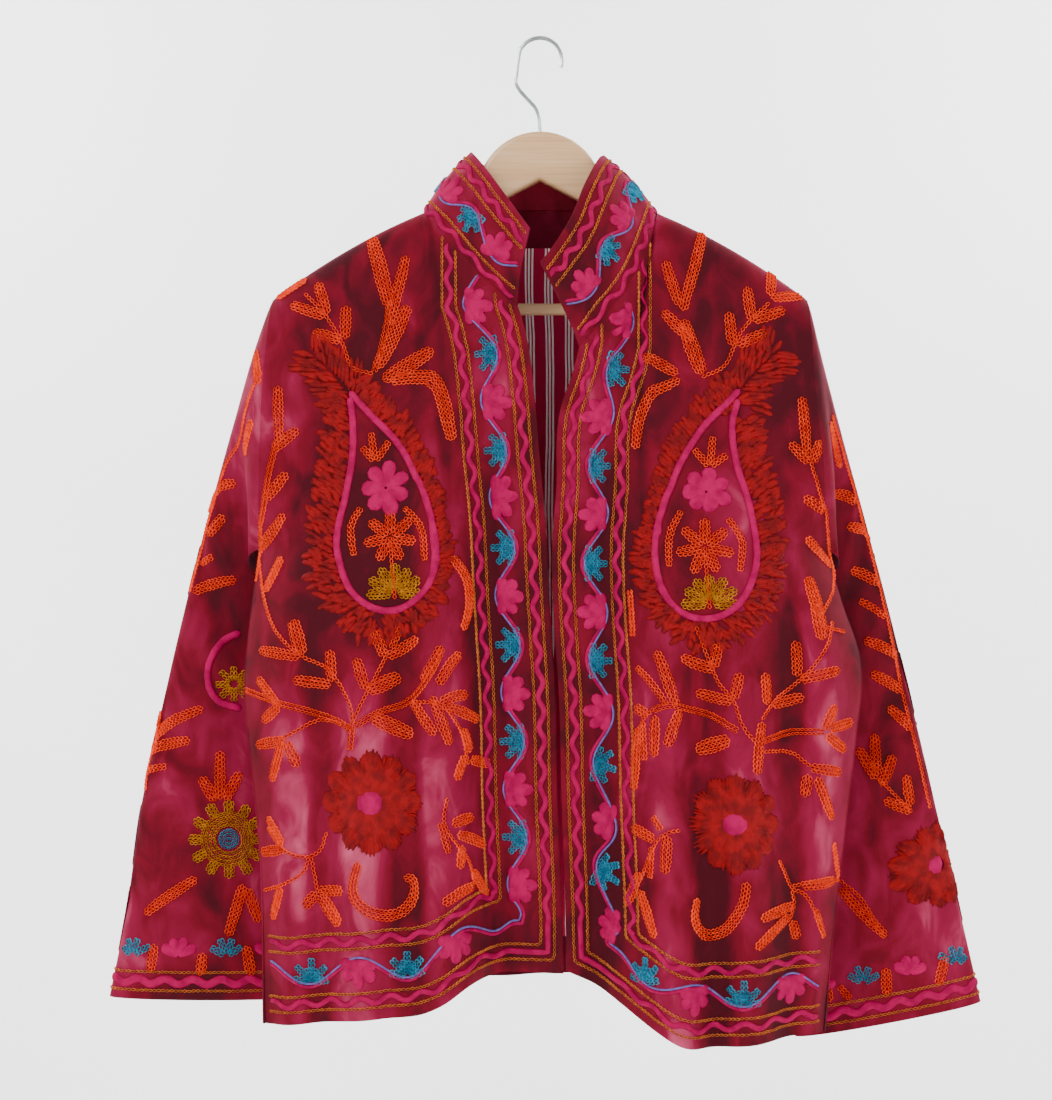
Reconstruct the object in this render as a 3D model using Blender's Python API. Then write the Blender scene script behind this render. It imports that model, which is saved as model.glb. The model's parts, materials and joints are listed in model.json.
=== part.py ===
"""Embroidered velvet jacket hanging open on a flat wooden hanger.

Blender 4.5 script. Tables and named sizes are in millimetres and the finished objects are in metres,
+Z up, +X to the right as the front is seen, and +Y away from the viewer. The origin is the inside top
of the steel hook, where the hanger is held. Left and right are as seen from the front.

Every cloth piece is a wall between an outer surface, worked out from the tables below, and the same
surface moved inward. Neighbouring pieces share their seam points and their seam normals.
"""

import math
from collections import namedtuple

import bmesh
import bpy
import numpy as np

MM = 0.001

# Cloth
WALL = 2.0
SEAM_GAP = 0.3
LINING_WALL = 1.0

# Height and width of the jacket
SHOULDER_HALF_WIDTH = 227.0
SHOULDER_TIP_Z = -221.0
NECK_POINT_Z = -147.0
NECK_HALF_WIDTH = 99.5
UNDERARM_DROP = 214.0
SIDE_HEIGHT = 614.0
HEM_AT_SIDE_Z = {-1: -832.0, 1: -838.0}

# Share of a front panel's top edge that is neckline
NECK_SHARE = 0.37

# Cloth over the hanger's edge: how far out it hangs, and how far down the rounded drop reaches
DROP_OUT = 18.0
DROP_DOWN = 28.0

# Grid: distances down the armhole, then even rows to the hem
ARMHOLE_ROWS = (0.0, 1.0, 4.5, 12.5, 28.0, 52.0, 80.0, 108.0, 136.0, 162.0, 186.0, 204.0, 214.0)
ROWS_BELOW_ARMHOLE = 14
SHOULDER_COLUMNS = 11
FRONT_NECK_STEPS = (0.0, 0.2, 0.4, 0.6, 0.78, 0.9, 1.0)
BACK_NECK_STEPS = (0.0, 0.05, 0.12, 0.21, 0.31, 0.405, 0.5, 0.595, 0.69, 0.79, 0.88, 0.95, 1.0)
COLLAR_ROWS = 4
SLEEVE_ROWS = 15

# Hanger
BOARD_THICKNESS = 14.0
BOARD_EDGE = 4.0
HEAD_RADIUS = 53.6
HEAD_TOP_Z = -78.2
ARM_REACH = 220.0
ARM_BELOW_SHOULDER = 3.3
ARM_BELOW_COLLAR = 2.6
NOTCH_Z = -120.0
NOTCH_SLOPE = 0.515
BAR_Z = -229.0
BAR_RADIUS = 5.0
BAR_SEAT_X = 196.0
BAR_SEAT_DEPTH = 8.0
LOBE_START_X = 176.0
LOBE_BOTTOM_Z = -240.0

# Hook
WIRE_RADIUS = 1.75
HOOK_RADIUS = 18.7
SHANK_DEPTH = 24.0

Fold = namedtuple("Fold", "x_top z_top x_bottom z_bottom half_width height")
Place = namedtuple("Place", "at x y z")
Edge = namedtuple("Edge", "z x y")
Crease = namedtuple("Crease", "along around length spread depth")

# Centre front edge of each front, from the neckline down
CENTRE_EDGE = {
    -1: (
        Edge(-229, -19.4, -48),
        Edge(-251, -12.7, -47),
        Edge(-309, -4.4, -45),
        Edge(-355, -0.7, -44),
        Edge(-404, 4.0, -43),
        Edge(-475, 7.8, -41),
        Edge(-558, 12.8, -38),
        Edge(-642, 14.6, -34),
        Edge(-726, 18.2, -30),
        Edge(-788.5, 19.6, -28),
    ),
    1: (
        Edge(-265, 32.7, -55),
        Edge(-291, 26.0, -53),
        Edge(-313, 18.0, -51),
        Edge(-383, 13.0, -49),
        Edge(-438, 9.6, -47),
        Edge(-475, 10.5, -45),
        Edge(-558, 15.6, -42),
        Edge(-642, 17.6, -38),
        Edge(-726, 20.8, -34),
        Edge(-785.6, 22.0, -32),
    ),
}

# Side of the body: armhole down to the underarm, then side seam. Its depth y is the side seam's own.
SIDE_EDGE = {
    -1: (
        Edge(-221, -227, 0),
        Edge(-307, -234, 2),
        Edge(-349, -236, 3),
        Edge(-435, -240, 2),
        Edge(-476, -244.5, -8),
        Edge(-560, -250, -16),
        Edge(-610, -244.5, -18),
        Edge(-686, -237.5, -18),
        Edge(-832, -234, -18),
    ),
    1: (
        Edge(-221, 227, 0),
        Edge(-307, 232, 2),
        Edge(-349, 237, 3),
        Edge(-435, 246, 2),
        Edge(-476, 256, -8),
        Edge(-526, 271, -18),
        Edge(-593, 266.5, -20),
        Edge(-644, 260.5, -20),
        Edge(-728, 250.5, -20),
        Edge(-838, 240.5, -20),
    ),
}

# Armhole: share of the way down it, and half its depth
ARMHOLE_DOWN = (0.0, 0.15, 0.4, 0.7, 0.88, 0.96, 1.0)
ARMHOLE_OUT = (DROP_OUT, 25.0, 30.0, 28.0, 20.0, 11.0, 0.0)

# Body just inside its side edge: share of the way down, distance out from the side seam's depth,
# and the share of the panel's width over which it draws in to the edge itself
INSIDE_DOWN = (0.0, 0.05, 0.14, 0.25, 0.35, 0.5, 0.75, 1.0)
INSIDE_OUT = (DROP_OUT, 25.0, 30.0, 30.0, 27.0, 20.0, 10.0, 0.0)
FRONT_DRAW_IN = 0.09
BACK_DRAW_IN = 0.05

# Hem of each front, from the centre edge to the side
FRONT_HEM = {
    -1: (
        Place(0.0, 19.6, -28, -788.5),
        Place(0.2, -33, -30, -788.5),
        Place(0.31, -58, -48, -794),
        Place(0.40, -82, -60, -809),
        Place(0.48, -101, -62, -818),
        Place(0.59, -129, -57, -820),
        Place(0.70, -157, -54, -823),
        Place(0.87, -200, -38, -829),
        Place(1.0, -234, -18, -832),
    ),
    1: (
        Place(0.0, 22.0, -32, -785.6),
        Place(0.1, 43, -32, -796),
        Place(0.21, 66, -45, -810),
        Place(0.33, 94, -60, -829),
        Place(0.44, 119, -65, -842),
        Place(0.55, 141, -62, -844),
        Place(0.69, 173, -60, -841),
        Place(0.87, 211, -42, -838.5),
        Place(1.0, 240.5, -20, -838),
    ),
}

# Front neckline, from the centre edge to the shoulder
FRONT_NECK = {
    -1: (
        Place(0.0, -19.4, -48, -229),
        Place(0.2, -39, -46, -213),
        Place(0.4, -60, -38, -191),
        Place(0.6, -77, -28, -170),
        Place(0.78, -91, -20, -156),
        Place(0.9, -97, -12, -149.5),
        Place(1.0, -99.5, 0, -147),
    ),
    1: (
        Place(0.0, 32.7, -55, -265),
        Place(0.2, 52, -51, -239),
        Place(0.4, 71, -43, -216),
        Place(0.6, 84, -33, -191),
        Place(0.78, 93, -22, -167),
        Place(0.9, 98, -12, -152),
        Place(1.0, 99.5, 0, -147),
    ),
}

BACK_NECK = (
    Place(0.0, -99.5, 0, -147),
    Place(0.05, -96.5, 12, -147),
    Place(0.12, -88, 20, -145),
    Place(0.3, -49, 33, -141.5),
    Place(0.5, 0, 38, -140),
    Place(0.7, 49, 33, -141.5),
    Place(0.88, 88, 20, -145),
    Place(0.95, 96.5, 12, -147),
    Place(1.0, 99.5, 0, -147),
)

BACK_HEM = (
    Place(0.0, -234, -18, -832),
    Place(0.08, -196, 2, -826),
    Place(0.2, -138, 30, -814),
    Place(0.36, -62, 40, -804),
    Place(0.5, 3, 44, -801),
    Place(0.64, 68, 40, -804),
    Place(0.8, 145, 30, -818),
    Place(0.92, 203, 2, -831),
    Place(1.0, 240.5, -20, -838),
)

# Top edge of the stand collar over each stretch of the neckline
COLLAR_TOP = {
    "left": (
        Place(0.0, -9, -60, -168),
        Place(0.35, -29, -50, -139),
        Place(0.65, -47, -36, -113),
        Place(0.9, -58, -13, -97.5),
        Place(1.0, -59.5, -1, -96),
    ),
    "back": (
        Place(0.0, -59.5, -1, -96),
        Place(0.05, -59, 10, -97),
        Place(0.12, -56, 19, -99),
        Place(0.3, -36, 34, -104),
        Place(0.5, -2, 39, -106),
        Place(0.7, 31, 34, -104.5),
        Place(0.88, 51, 19, -100),
        Place(0.95, 54, 10, -98.5),
        Place(1.0, 54.5, -1, -98),
    ),
    "right": (
        Place(0.0, 0.5, -76, -198),
        Place(0.25, 12, -70, -182),
        Place(0.5, 26, -60, -158),
        Place(0.75, 39, -42, -125),
        Place(0.9, 50, -16, -102.5),
        Place(1.0, 54.5, -1, -98),
    ),
}
COLLAR_BOW = 4.0

# Fullness of each body panel between its four edges: share of the way down, and depth
FULLNESS_DOWN = (0.0, 0.06, 0.2, 0.45, 0.7, 0.88, 1.0)
FRONT_FULLNESS = (0.0, 1.0, 4.0, 9.0, 11.0, 8.0, 0.0)
BACK_FULLNESS = (0.0, 1.0, 6.0, 14.0, 20.0, 14.0, 0.0)
FULLNESS_POWER = 0.7

# Largest folds: a ridge has a positive height toward the viewer of that panel, and a trough a negative one
FRONT_FOLDS = {
    -1: (
        Fold(-84, -330, -70, -830, 20, 10),
        Fold(-48, -330, -34, -830, 15, -9),
        Fold(-118, -430, -104, -860, 15, -7),
        Fold(-150, -520, -142, -860, 19, 6),
        Fold(-178, -560, -182, -860, 15, -6),
        Fold(-212, -480, -212, -860, 14, 5),
        Fold(-92, -200, -104, -330, 11, -4),
        Fold(-150, -235, -196, -420, 17, -4),
    ),
    1: (
        Fold(62, -330, 50, -830, 15, -9),
        Fold(92, -420, 112, -870, 19, 11),
        Fold(128, -520, 146, -870, 13, -7),
        Fold(164, -430, 176, -870, 18, 8),
        Fold(206, -430, 208, -870, 14, -6),
        Fold(240, -470, 232, -870, 13, 5),
        Fold(96, -200, 108, -340, 11, -4),
        Fold(152, -240, 196, -420, 17, -4),
    ),
}

BACK_FOLDS = (
    Fold(-160, -420, -176, -870, 17, 6),
    Fold(-118, -330, -128, -870, 16, -6),
    Fold(-66, -260, -78, -870, 20, 7),
    Fold(-20, -360, -26, -870, 15, -6),
    Fold(36, -240, 34, -870, 20, 6),
    Fold(86, -380, 92, -870, 16, -7),
    Fold(132, -300, 146, -870, 18, 7),
    Fold(178, -480, 190, -870, 14, -5),
)

# Cuff of each sleeve, and how far the sleeve's outer line bows past the straight one
Cuff = namedtuple("Cuff", "outer_x outer_z inner_x inner_z centre_y half_depth")
CUFF = {
    -1: Cuff(-374, -821, -214, -822, 48, 21),
    1: Cuff(383.5, -825.5, 222, -856, 48, 21),
}
SLEEVE_DOWN = (0.0, 0.055, 0.17, 0.37, 0.54, 0.72, 0.89, 1.0)
SLEEVE_BOW = {
    -1: (0.0, 4.5, 9.5, 15.0, 15.5, 13.0, 3.0, 0.0),
    1: (0.0, 0.0, 2.0, 6.0, 6.5, 4.5, 2.0, 0.0),
}
SLEEVE_SETBACK_POWER_OUTER = 2.5
SLEEVE_SETBACK_POWER_INNER = 6.5
SLEEVE_FALL_POWER_INNER = 1.3

# Below the underarm the sleeve first stands clear of the body's side, then falls in behind it
SLEEVE_CLEARANCE = 11.0
SLEEVE_CLEARANCE_AT = 0.06

# Sleeve creases: share of the sleeve's length, place round the ring (0 outer line, 0.25 front, 0.5 inner)
SLEEVE_CREASES = {
    -1: (
        Crease(0.34, 0.14, 0.030, 0.16, -5),
        Crease(0.44, 0.22, 0.030, 0.13, 4),
        Crease(0.60, 0.15, 0.030, 0.14, -6),
        Crease(0.69, 0.22, 0.030, 0.15, 4),
        Crease(0.84, 0.16, 0.028, 0.17, -5),
        Crease(0.46, 0.72, 0.035, 0.15, -5),
        Crease(0.70, 0.80, 0.035, 0.15, -5),
    ),
    1: (
        Crease(0.30, 0.16, 0.030, 0.15, -4),
        Crease(0.50, 0.13, 0.035, 0.14, -5),
        Crease(0.62, 0.22, 0.035, 0.15, 4),
        Crease(0.78, 0.15, 0.035, 0.16, -5),
        Crease(0.40, 0.75, 0.035, 0.15, -5),
        Crease(0.66, 0.70, 0.035, 0.15, -5),
    ),
}

# Inside back, on the back's own rows and columns: facing under the collar, then striped lining
FACING_TOP_ROW = 1
FACING_BOTTOM_ROW = 4
LINING_ROWS_ABOVE_HEM = 1
LINING_SIDE_COLUMNS = 1

# Colours, linear
VELVET = (0.25, 0.004, 0.03)
COTTON = (0.35, 0.01, 0.05)
PALE_WOOD = (0.65, 0.38, 0.19)
STEEL = (0.45, 0.48, 0.47)


def smooth(at, places, values):
    """Reads a smooth curve through a short table, flat beyond its ends."""
    places = np.asarray(places, float)
    values = np.asarray(values, float)
    at = np.clip(np.asarray(at, float), places[0], places[-1])
    slopes = np.gradient(values, places)
    cell = np.clip(np.searchsorted(places, at, side="right") - 1, 0, len(places) - 2)
    span = places[cell + 1] - places[cell]
    t = (at - places[cell]) / span
    return (
        values[cell] * (2 * t**3 - 3 * t**2 + 1)
        + values[cell + 1] * (3 * t**2 - 2 * t**3)
        + slopes[cell] * span * (t**3 - 2 * t**2 + t)
        + slopes[cell + 1] * span * (t**3 - t**2)
    )


def along(table, at):
    """Point of a Place table at a share of its length."""
    places = [row.at for row in table]
    return np.stack(
        [smooth(at, places, [getattr(row, axis) for row in table]) for axis in "xyz"], axis=-1
    )


def edge_value(table, z, column):
    """One column of an Edge table at height z."""
    rows = sorted(table, key=lambda row: row.z)
    return smooth(z, [row.z for row in rows], [getattr(row, column) for row in rows])


def step(value):
    """Smooth step from 0 to 1."""
    value = np.clip(value, 0.0, 1.0)
    return value * value * (3 - 2 * value)


def shoulder_z(x):
    """Height of the shoulder line, which falls a little faster toward the arm."""
    share = (np.abs(x) - NECK_HALF_WIDTH) / (SHOULDER_HALF_WIDTH - NECK_HALF_WIDTH)
    fall = NECK_POINT_Z - SHOULDER_TIP_Z
    curve = 22.0
    return NECK_POINT_Z - (fall - curve) * share - curve * share * np.abs(share)


def shoulder_point(share, side):
    """Point on the shoulder seam, from the neck point to the tip."""
    x = side * (NECK_HALF_WIDTH + (SHOULDER_HALF_WIDTH - NECK_HALF_WIDTH) * share)
    return np.stack([x, np.zeros_like(x), shoulder_z(x)], axis=-1)


def drop(distance):
    """Rounded share of the drop over the hanger's edge, 0 at the seam and 1 once the cloth hangs."""
    rest = 1 - np.clip(distance / DROP_DOWN, 0, 1)
    return (1 - rest**2) ** 0.36


def side_line(down, side):
    """Side edge of the body without any depth of its own to the front or back."""
    z = SHOULDER_TIP_Z + (HEM_AT_SIDE_Z[side] - SHOULDER_TIP_Z) * down
    return np.stack([edge_value(SIDE_EDGE[side], z, "x"), edge_value(SIDE_EDGE[side], z, "y"), z], axis=-1)


def side_out(down):
    """Depth of the side edge itself: the armhole's, then none along the side seam."""
    return smooth(np.clip(down * SIDE_HEIGHT / UNDERARM_DROP, 0, 1), ARMHOLE_DOWN, ARMHOLE_OUT)


def side_field(down, side, face):
    """Side of a body panel to the front (face -1) or the back (face 1), as it lies just inside its edge."""
    points = side_line(down, side)
    points[..., 1] += face * smooth(down, INSIDE_DOWN, INSIDE_OUT)
    return points


def draw_in(down, distance):
    """How far a body panel draws in toward its side edge, by its distance from it."""
    return (side_out(down) - smooth(down, INSIDE_DOWN, INSIDE_OUT)) * np.exp(-distance)


def side_curve(down, side, face):
    """Side edge of a body panel: armhole from the shoulder seam to the underarm, then side seam."""
    points = side_line(down, side)
    points[..., 1] += face * side_out(down)
    points[..., 1] *= drop(SHOULDER_TIP_Z - points[..., 2])
    return points


def hung(top, field):
    """Cloth that starts at its top edge and drops over the hanger onto the field that it hangs in."""
    share = drop(top[..., 2] - field[..., 2])
    field[..., 1] = top[..., 1] + (field[..., 1] - top[..., 1]) * share
    return field


def pushed_out(top, face):
    """Top edge of the field: the top edge itself, moved out to where the cloth hangs."""
    moved = top.copy()
    moved[..., 1] = face * np.maximum(face * top[..., 1], DROP_OUT)
    return moved


def centre_curve(down, side):
    """Centre front edge from the neckline to the hem."""
    table = CENTRE_EDGE[side]
    z = table[0].z + (table[-1].z - table[0].z) * down
    return np.stack([edge_value(table, z, "x"), edge_value(table, z, "y"), z], axis=-1)


def coons(across, down, top, bottom, start, end):
    """Surface spanned by its four edges."""
    a = across[..., None]
    d = down[..., None]
    ruled_down = (1 - d) * top(across) + d * bottom(across)
    ruled_across = (1 - a) * start(down) + a * end(down)
    zero = np.zeros_like(across)
    one = np.ones_like(across)
    corners = (1 - d) * ((1 - a) * top(zero) + a * top(one)) + d * ((1 - a) * bottom(zero) + a * bottom(one))
    return ruled_down + ruled_across - corners


def folded(points, folds, face, weight):
    """Moves points along y by the folds that run through them."""
    x = points[..., 0]
    z = points[..., 2]
    for fold in folds:
        share = np.clip((z - fold.z_top) / (fold.z_bottom - fold.z_top), 0, 1)
        line = fold.x_top + (fold.x_bottom - fold.x_top) * share
        start = step((fold.z_top - z) / 110.0 + 0.25)
        end = 1 - step((fold.z_bottom - z + 70.0) / 70.0) if fold.z_bottom > -700 else 1.0
        ridge = np.exp(-(((x - line) / fold.half_width) ** 2))
        points[..., 1] += face * fold.height * ridge * start * end * weight
    return points


def fullness(across, down, depths):
    """Depth that a body panel gains between its edges."""
    return smooth(down, FULLNESS_DOWN, depths) * np.sin(np.pi * np.clip(across, 0, 1)) ** FULLNESS_POWER


def front_point(across, down, side):
    """Outer surface of a front panel, from its centre edge (0) to its side (1) and from top to hem."""

    def top(share):
        neck = along(FRONT_NECK[side], np.clip(share / NECK_SHARE, 0, 1))
        shoulder = shoulder_point(np.clip((share - NECK_SHARE) / (1 - NECK_SHARE), 0, 1), side)
        return np.where((share <= NECK_SHARE)[..., None], neck, shoulder)

    across, down = np.broadcast_arrays(np.asarray(across, float), np.asarray(down, float))
    field = coons(
        across,
        down,
        lambda share: pushed_out(top(share), -1),
        lambda share: along(FRONT_HEM[side], share),
        lambda share: centre_curve(share, side),
        lambda share: side_field(share, side, -1),
    )
    field[..., 1] -= fullness(across, down, FRONT_FULLNESS) + draw_in(down, (1 - across) / FRONT_DRAW_IN)
    held = step(down / 0.09) * step((1 - across) / 0.07)
    return hung(top(across), folded(field, FRONT_FOLDS[side], -1, held))


def back_share(side):
    """Share of the back's top edge at which the neckline meets a shoulder."""
    return (SHOULDER_HALF_WIDTH + side * NECK_HALF_WIDTH) / (2 * SHOULDER_HALF_WIDTH)


def back_point(across, down):
    """Outer surface of the back, from the left side (0) to the right side (1) and from top to hem."""
    left_share = back_share(-1)
    right_share = back_share(1)

    def top(share):
        left = shoulder_point(np.clip(1 - share / left_share, 0, 1), -1)
        neck = along(BACK_NECK, np.clip((share - left_share) / (right_share - left_share), 0, 1))
        right = shoulder_point(np.clip((share - right_share) / (1 - right_share), 0, 1), 1)
        inner = np.where((share <= left_share)[..., None], left, neck)
        return np.where((share >= right_share)[..., None], right, inner)

    across, down = np.broadcast_arrays(np.asarray(across, float), np.asarray(down, float))
    field = coons(
        across,
        down,
        lambda share: pushed_out(top(share), 1),
        lambda share: along(BACK_HEM, share),
        lambda share: side_field(share, -1, 1),
        lambda share: side_field(share, 1, 1),
    )
    from_side = np.minimum(across, 1 - across) / BACK_DRAW_IN
    field[..., 1] += fullness(across, down, BACK_FULLNESS) + draw_in(down, from_side)
    held = step(down / 0.09) * step(across / 0.06) * step((1 - across) / 0.06)
    return hung(top(across), folded(field, BACK_FOLDS, 1, held))


def rows_down():
    """Shares of the way down at which the body panels have rows."""
    armhole = [distance / SIDE_HEIGHT for distance in ARMHOLE_ROWS]
    below = np.linspace(armhole[-1], 1, ROWS_BELOW_ARMHOLE + 1)[1:]
    return np.array(armhole + list(below))


def panel_rows(on_neckline):
    """Rows of every column of a body panel. Columns on the neckline need no rows crowded at the top."""
    rows = rows_down()
    over_hanger = int(np.searchsorted(ARMHOLE_ROWS, DROP_DOWN))
    even = rows.copy()
    even[: over_hanger + 1] = np.linspace(0, rows[over_hanger], over_hanger + 1)
    return np.where(np.asarray(on_neckline)[None, :], even[:, None], rows[:, None])


def sleeve_point(around, down, side):
    """Outer surface of a sleeve. Around runs from the outer line (0) by the front (0.25), the underarm
    (0.5) and the back (0.75); down runs from the armhole to the cuff."""
    around, down = np.broadcast_arrays(np.asarray(around, float), np.asarray(down, float))
    front = around <= 0.5
    share = np.where(front, around * 2, (1 - around) * 2)
    face = np.where(front, -1.0, 1.0)
    rows = rows_down()
    armhole_rows = rows[: len(ARMHOLE_ROWS)]
    on_side = np.interp(share, np.linspace(0, 1, len(armhole_rows)), armhole_rows)
    start = np.where(front[..., None], side_curve(on_side, side, -1), side_curve(on_side, side, 1))
    cuff = CUFF[side]
    angle = np.pi * (on_side - armhole_rows[0]) / (armhole_rows[-1] - armhole_rows[0])
    reach = (1 - np.cos(angle)) / 2
    end = np.stack(
        [
            cuff.outer_x + (cuff.inner_x - cuff.outer_x) * reach,
            cuff.centre_y + face * cuff.half_depth * np.sin(angle) ** 0.8,
            cuff.outer_z + (cuff.inner_z - cuff.outer_z) * reach,
        ],
        axis=-1,
    )
    power = SLEEVE_SETBACK_POWER_OUTER
    power = power + (SLEEVE_SETBACK_POWER_INNER - power) * np.sqrt(reach)
    setback = 1 - (1 - down) ** power
    fall = down ** (1 + (SLEEVE_FALL_POWER_INNER - 1) * reach)
    mix = np.stack([down, setback, fall], axis=-1)
    points = start + (end - start) * mix
    points[..., 0] += side * smooth(down, SLEEVE_DOWN, SLEEVE_BOW[side]) * (1 - reach)
    near = down / SLEEVE_CLEARANCE_AT
    points[..., 0] += side * SLEEVE_CLEARANCE * np.sqrt(reach) * near * np.exp(1 - near)
    for crease in SLEEVE_CREASES[side]:
        turn = np.abs(around - crease.around)
        turn = np.minimum(turn, 1 - turn)
        shape = np.exp(-(((down - crease.along - 0.35 * turn) / crease.length) ** 2))
        points[..., 1] += face * crease.depth * shape * np.exp(-((turn / crease.spread) ** 2))
    return points


def collar_point(stretch, at, up):
    """Outer surface of the collar over one stretch of the neckline, from its seam (0) to its top (1)."""
    at, up = np.broadcast_arrays(np.asarray(at, float), np.asarray(up, float))
    seam = {"left": FRONT_NECK[-1], "back": BACK_NECK, "right": FRONT_NECK[1]}[stretch]
    low = along(seam, at)
    high = along(COLLAR_TOP[stretch], at)
    points = low + (high - low) * up[..., None]
    out = points * np.array([1.0, 1.0, 0.0]) - np.array([2.0, -8.0, 0.0])
    out /= np.linalg.norm(out, axis=-1, keepdims=True)
    return points + out * (COLLAR_BOW * np.sin(np.pi * up))[..., None]


def place_key(point):
    """Name of a place, the same for every piece that has a point there."""
    return tuple(np.round(point * 1000).astype(int))


class Sheet:
    """Grid of outer points of one cloth piece, rows down and columns across."""

    def __init__(self, name, grid, ring=False, flip=False, colour=VELVET):
        self.name = name
        self.grid = np.asarray(grid, float)
        self.ring = ring
        self.flip = flip
        self.colour = colour
        self.own_normals = None

    def patch(self, name, rows, columns, colour, shared):
        """Piece that lies on the inside of this one, over some of its rows and columns."""
        made = Sheet(name, self.grid[rows, columns], flip=self.flip, colour=colour)
        made.own_normals = self.normals(shared)[rows, columns]
        return made

    def cells(self):
        """Corner indexes of every cell, wound so that its normal points out."""
        rows, columns = self.grid.shape[:2]
        last = columns if self.ring else columns - 1
        for i in range(rows - 1):
            for j in range(last):
                k = (j + 1) % columns
                cell = [(i, j), (i + 1, j), (i + 1, k), (i, k)]
                yield cell[::-1] if self.flip else cell

    def add_normals(self, shared):
        """Adds each cell's normal to the sums kept for its corner points. The sums hold the body's
        normal, the sleeve's normal, and the way the sleeve leads off."""
        for cell in self.cells():
            a, b, c, d = (self.grid[index] for index in cell)
            normal = np.cross(c - a, d - b)
            normal /= max(np.linalg.norm(normal), 1e-9)
            middle = (a + b + c + d) / 4
            for index in cell:
                sums = shared.setdefault(place_key(self.grid[index]), np.zeros((3, 3)))
                sums[int(self.ring)] += normal
                if self.ring:
                    sums[2] += middle - self.grid[index]

    def triangles(self):
        """Corner indexes of two triangles to a cell, cut along its shorter diagonal."""
        for a, b, c, d in self.cells():
            if np.linalg.norm(self.grid[a] - self.grid[c]) < np.linalg.norm(self.grid[b] - self.grid[d]):
                yield a, b, c
                yield a, c, d
            else:
                yield b, c, d
                yield b, d, a

    def normals(self, shared):
        """Unit normal of every point, common to all pieces that meet there. Where a sleeve folds back
        over the outside of the body, as at the underarm, each of the two keeps its own."""
        if self.own_normals is not None:
            return self.own_normals
        sums = np.array([[shared[place_key(point)] for point in row] for row in self.grid])
        body = sums[:, :, 0]
        sleeve = sums[:, :, 1]
        folded_over = np.sum(body * sums[:, :, 2], axis=-1, keepdims=True) > 0
        found = np.where(folded_over, sleeve if self.ring else body, body + sleeve)
        return found / np.linalg.norm(found, axis=-1, keepdims=True)

    def parted(self, points, normals):
        """Draws the borders back by half the seam gap, along the cloth and square to the seam."""
        out = points.copy()
        half = SEAM_GAP / 2

        def draw(edge, inner):
            line = points[edge]
            if self.ring:
                run = np.roll(line, -1, axis=0) - np.roll(line, 1, axis=0)
            else:
                run = np.gradient(line, axis=0)
            square = np.cross(normals[edge], run)
            square /= np.linalg.norm(square, axis=-1, keepdims=True)
            side = np.sign(np.sum(square * (points[inner] - line), axis=-1, keepdims=True))
            out[edge] += half * square * side

        draw(np.s_[0, :], np.s_[1, :])
        draw(np.s_[-1, :], np.s_[-2, :])
        if not self.ring:
            draw(np.s_[:, 0], np.s_[:, 1])
            draw(np.s_[:, -1], np.s_[:, -2])
        return out

    def build(self, shared, wall=WALL, inset=0.0):
        """Makes the closed wall as an object."""
        normals = self.normals(shared)
        outer = self.parted(self.grid - inset * normals, normals)
        inner = self.parted(self.grid - (inset + wall) * normals, normals)
        rows, columns = self.grid.shape[:2]
        mesh = bmesh.new()
        shells = []
        for points in (outer, inner):
            shells.append([[mesh.verts.new(points[i, j] * MM) for j in range(columns)] for i in range(rows)])
        for corners in self.triangles():
            mesh.faces.new([shells[0][i][j] for i, j in corners])
            mesh.faces.new([shells[1][i][j] for i, j in reversed(corners)])
        self.close_rims(mesh, shells)
        bmesh.ops.recalc_face_normals(mesh, faces=mesh.faces[:])
        return new_object(self.name, mesh, self.colour, 0.75)

    def close_rims(self, mesh, shells):
        """Joins the outer and inner faces along every free edge, cut the same way on both sides of a seam."""
        outer, inner = shells
        rows, columns = self.grid.shape[:2]
        turn = list(range(columns)) + ([0] if self.ring else [])
        borders = [[(0, j) for j in turn], [(rows - 1, j) for j in turn]]
        if not self.ring:
            borders.append([(i, 0) for i in range(rows)])
            borders.append([(i, columns - 1) for i in range(rows)])
        for border in borders:
            for first, second in zip(border, border[1:]):
                if place_key(self.grid[first]) > place_key(self.grid[second]):
                    first, second = second, first
                (i, j), (k, m) = first, second
                mesh.faces.new([outer[i][j], outer[k][m], inner[k][m]])
                mesh.faces.new([outer[i][j], inner[k][m], inner[i][j]])


def material(name, colour, roughness, metallic=0.0):
    """Principled material for one piece."""
    made = bpy.data.materials.new(name)
    made.use_nodes = True
    shader = made.node_tree.nodes["Principled BSDF"]
    shader.inputs["Base Color"].default_value = (*colour, 1.0)
    shader.inputs["Roughness"].default_value = roughness
    shader.inputs["Metallic"].default_value = metallic
    return made


def new_object(name, mesh, colour, roughness, metallic=0.0):
    """Turns a bmesh into a named object with its own material."""
    data = bpy.data.meshes.new(name)
    mesh.to_mesh(data)
    mesh.free()
    made = bpy.data.objects.new(name, data)
    bpy.context.collection.objects.link(made)
    data.materials.append(material(name, colour, roughness, metallic))
    data.shade_smooth()
    data.set_sharp_from_angle(angle=math.radians(40))
    return made


def front_sheet(name, side):
    """Front panel with its columns on the collar's and the shoulder's."""
    neck = [share * NECK_SHARE for share in FRONT_NECK_STEPS]
    shoulder = np.linspace(NECK_SHARE, 1, SHOULDER_COLUMNS + 1)[1:]
    across = np.array(neck + list(shoulder))
    down = panel_rows(across < NECK_SHARE - 1e-6)
    return Sheet(name, front_point(across[None, :], down, side), flip=side < 0)


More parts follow.
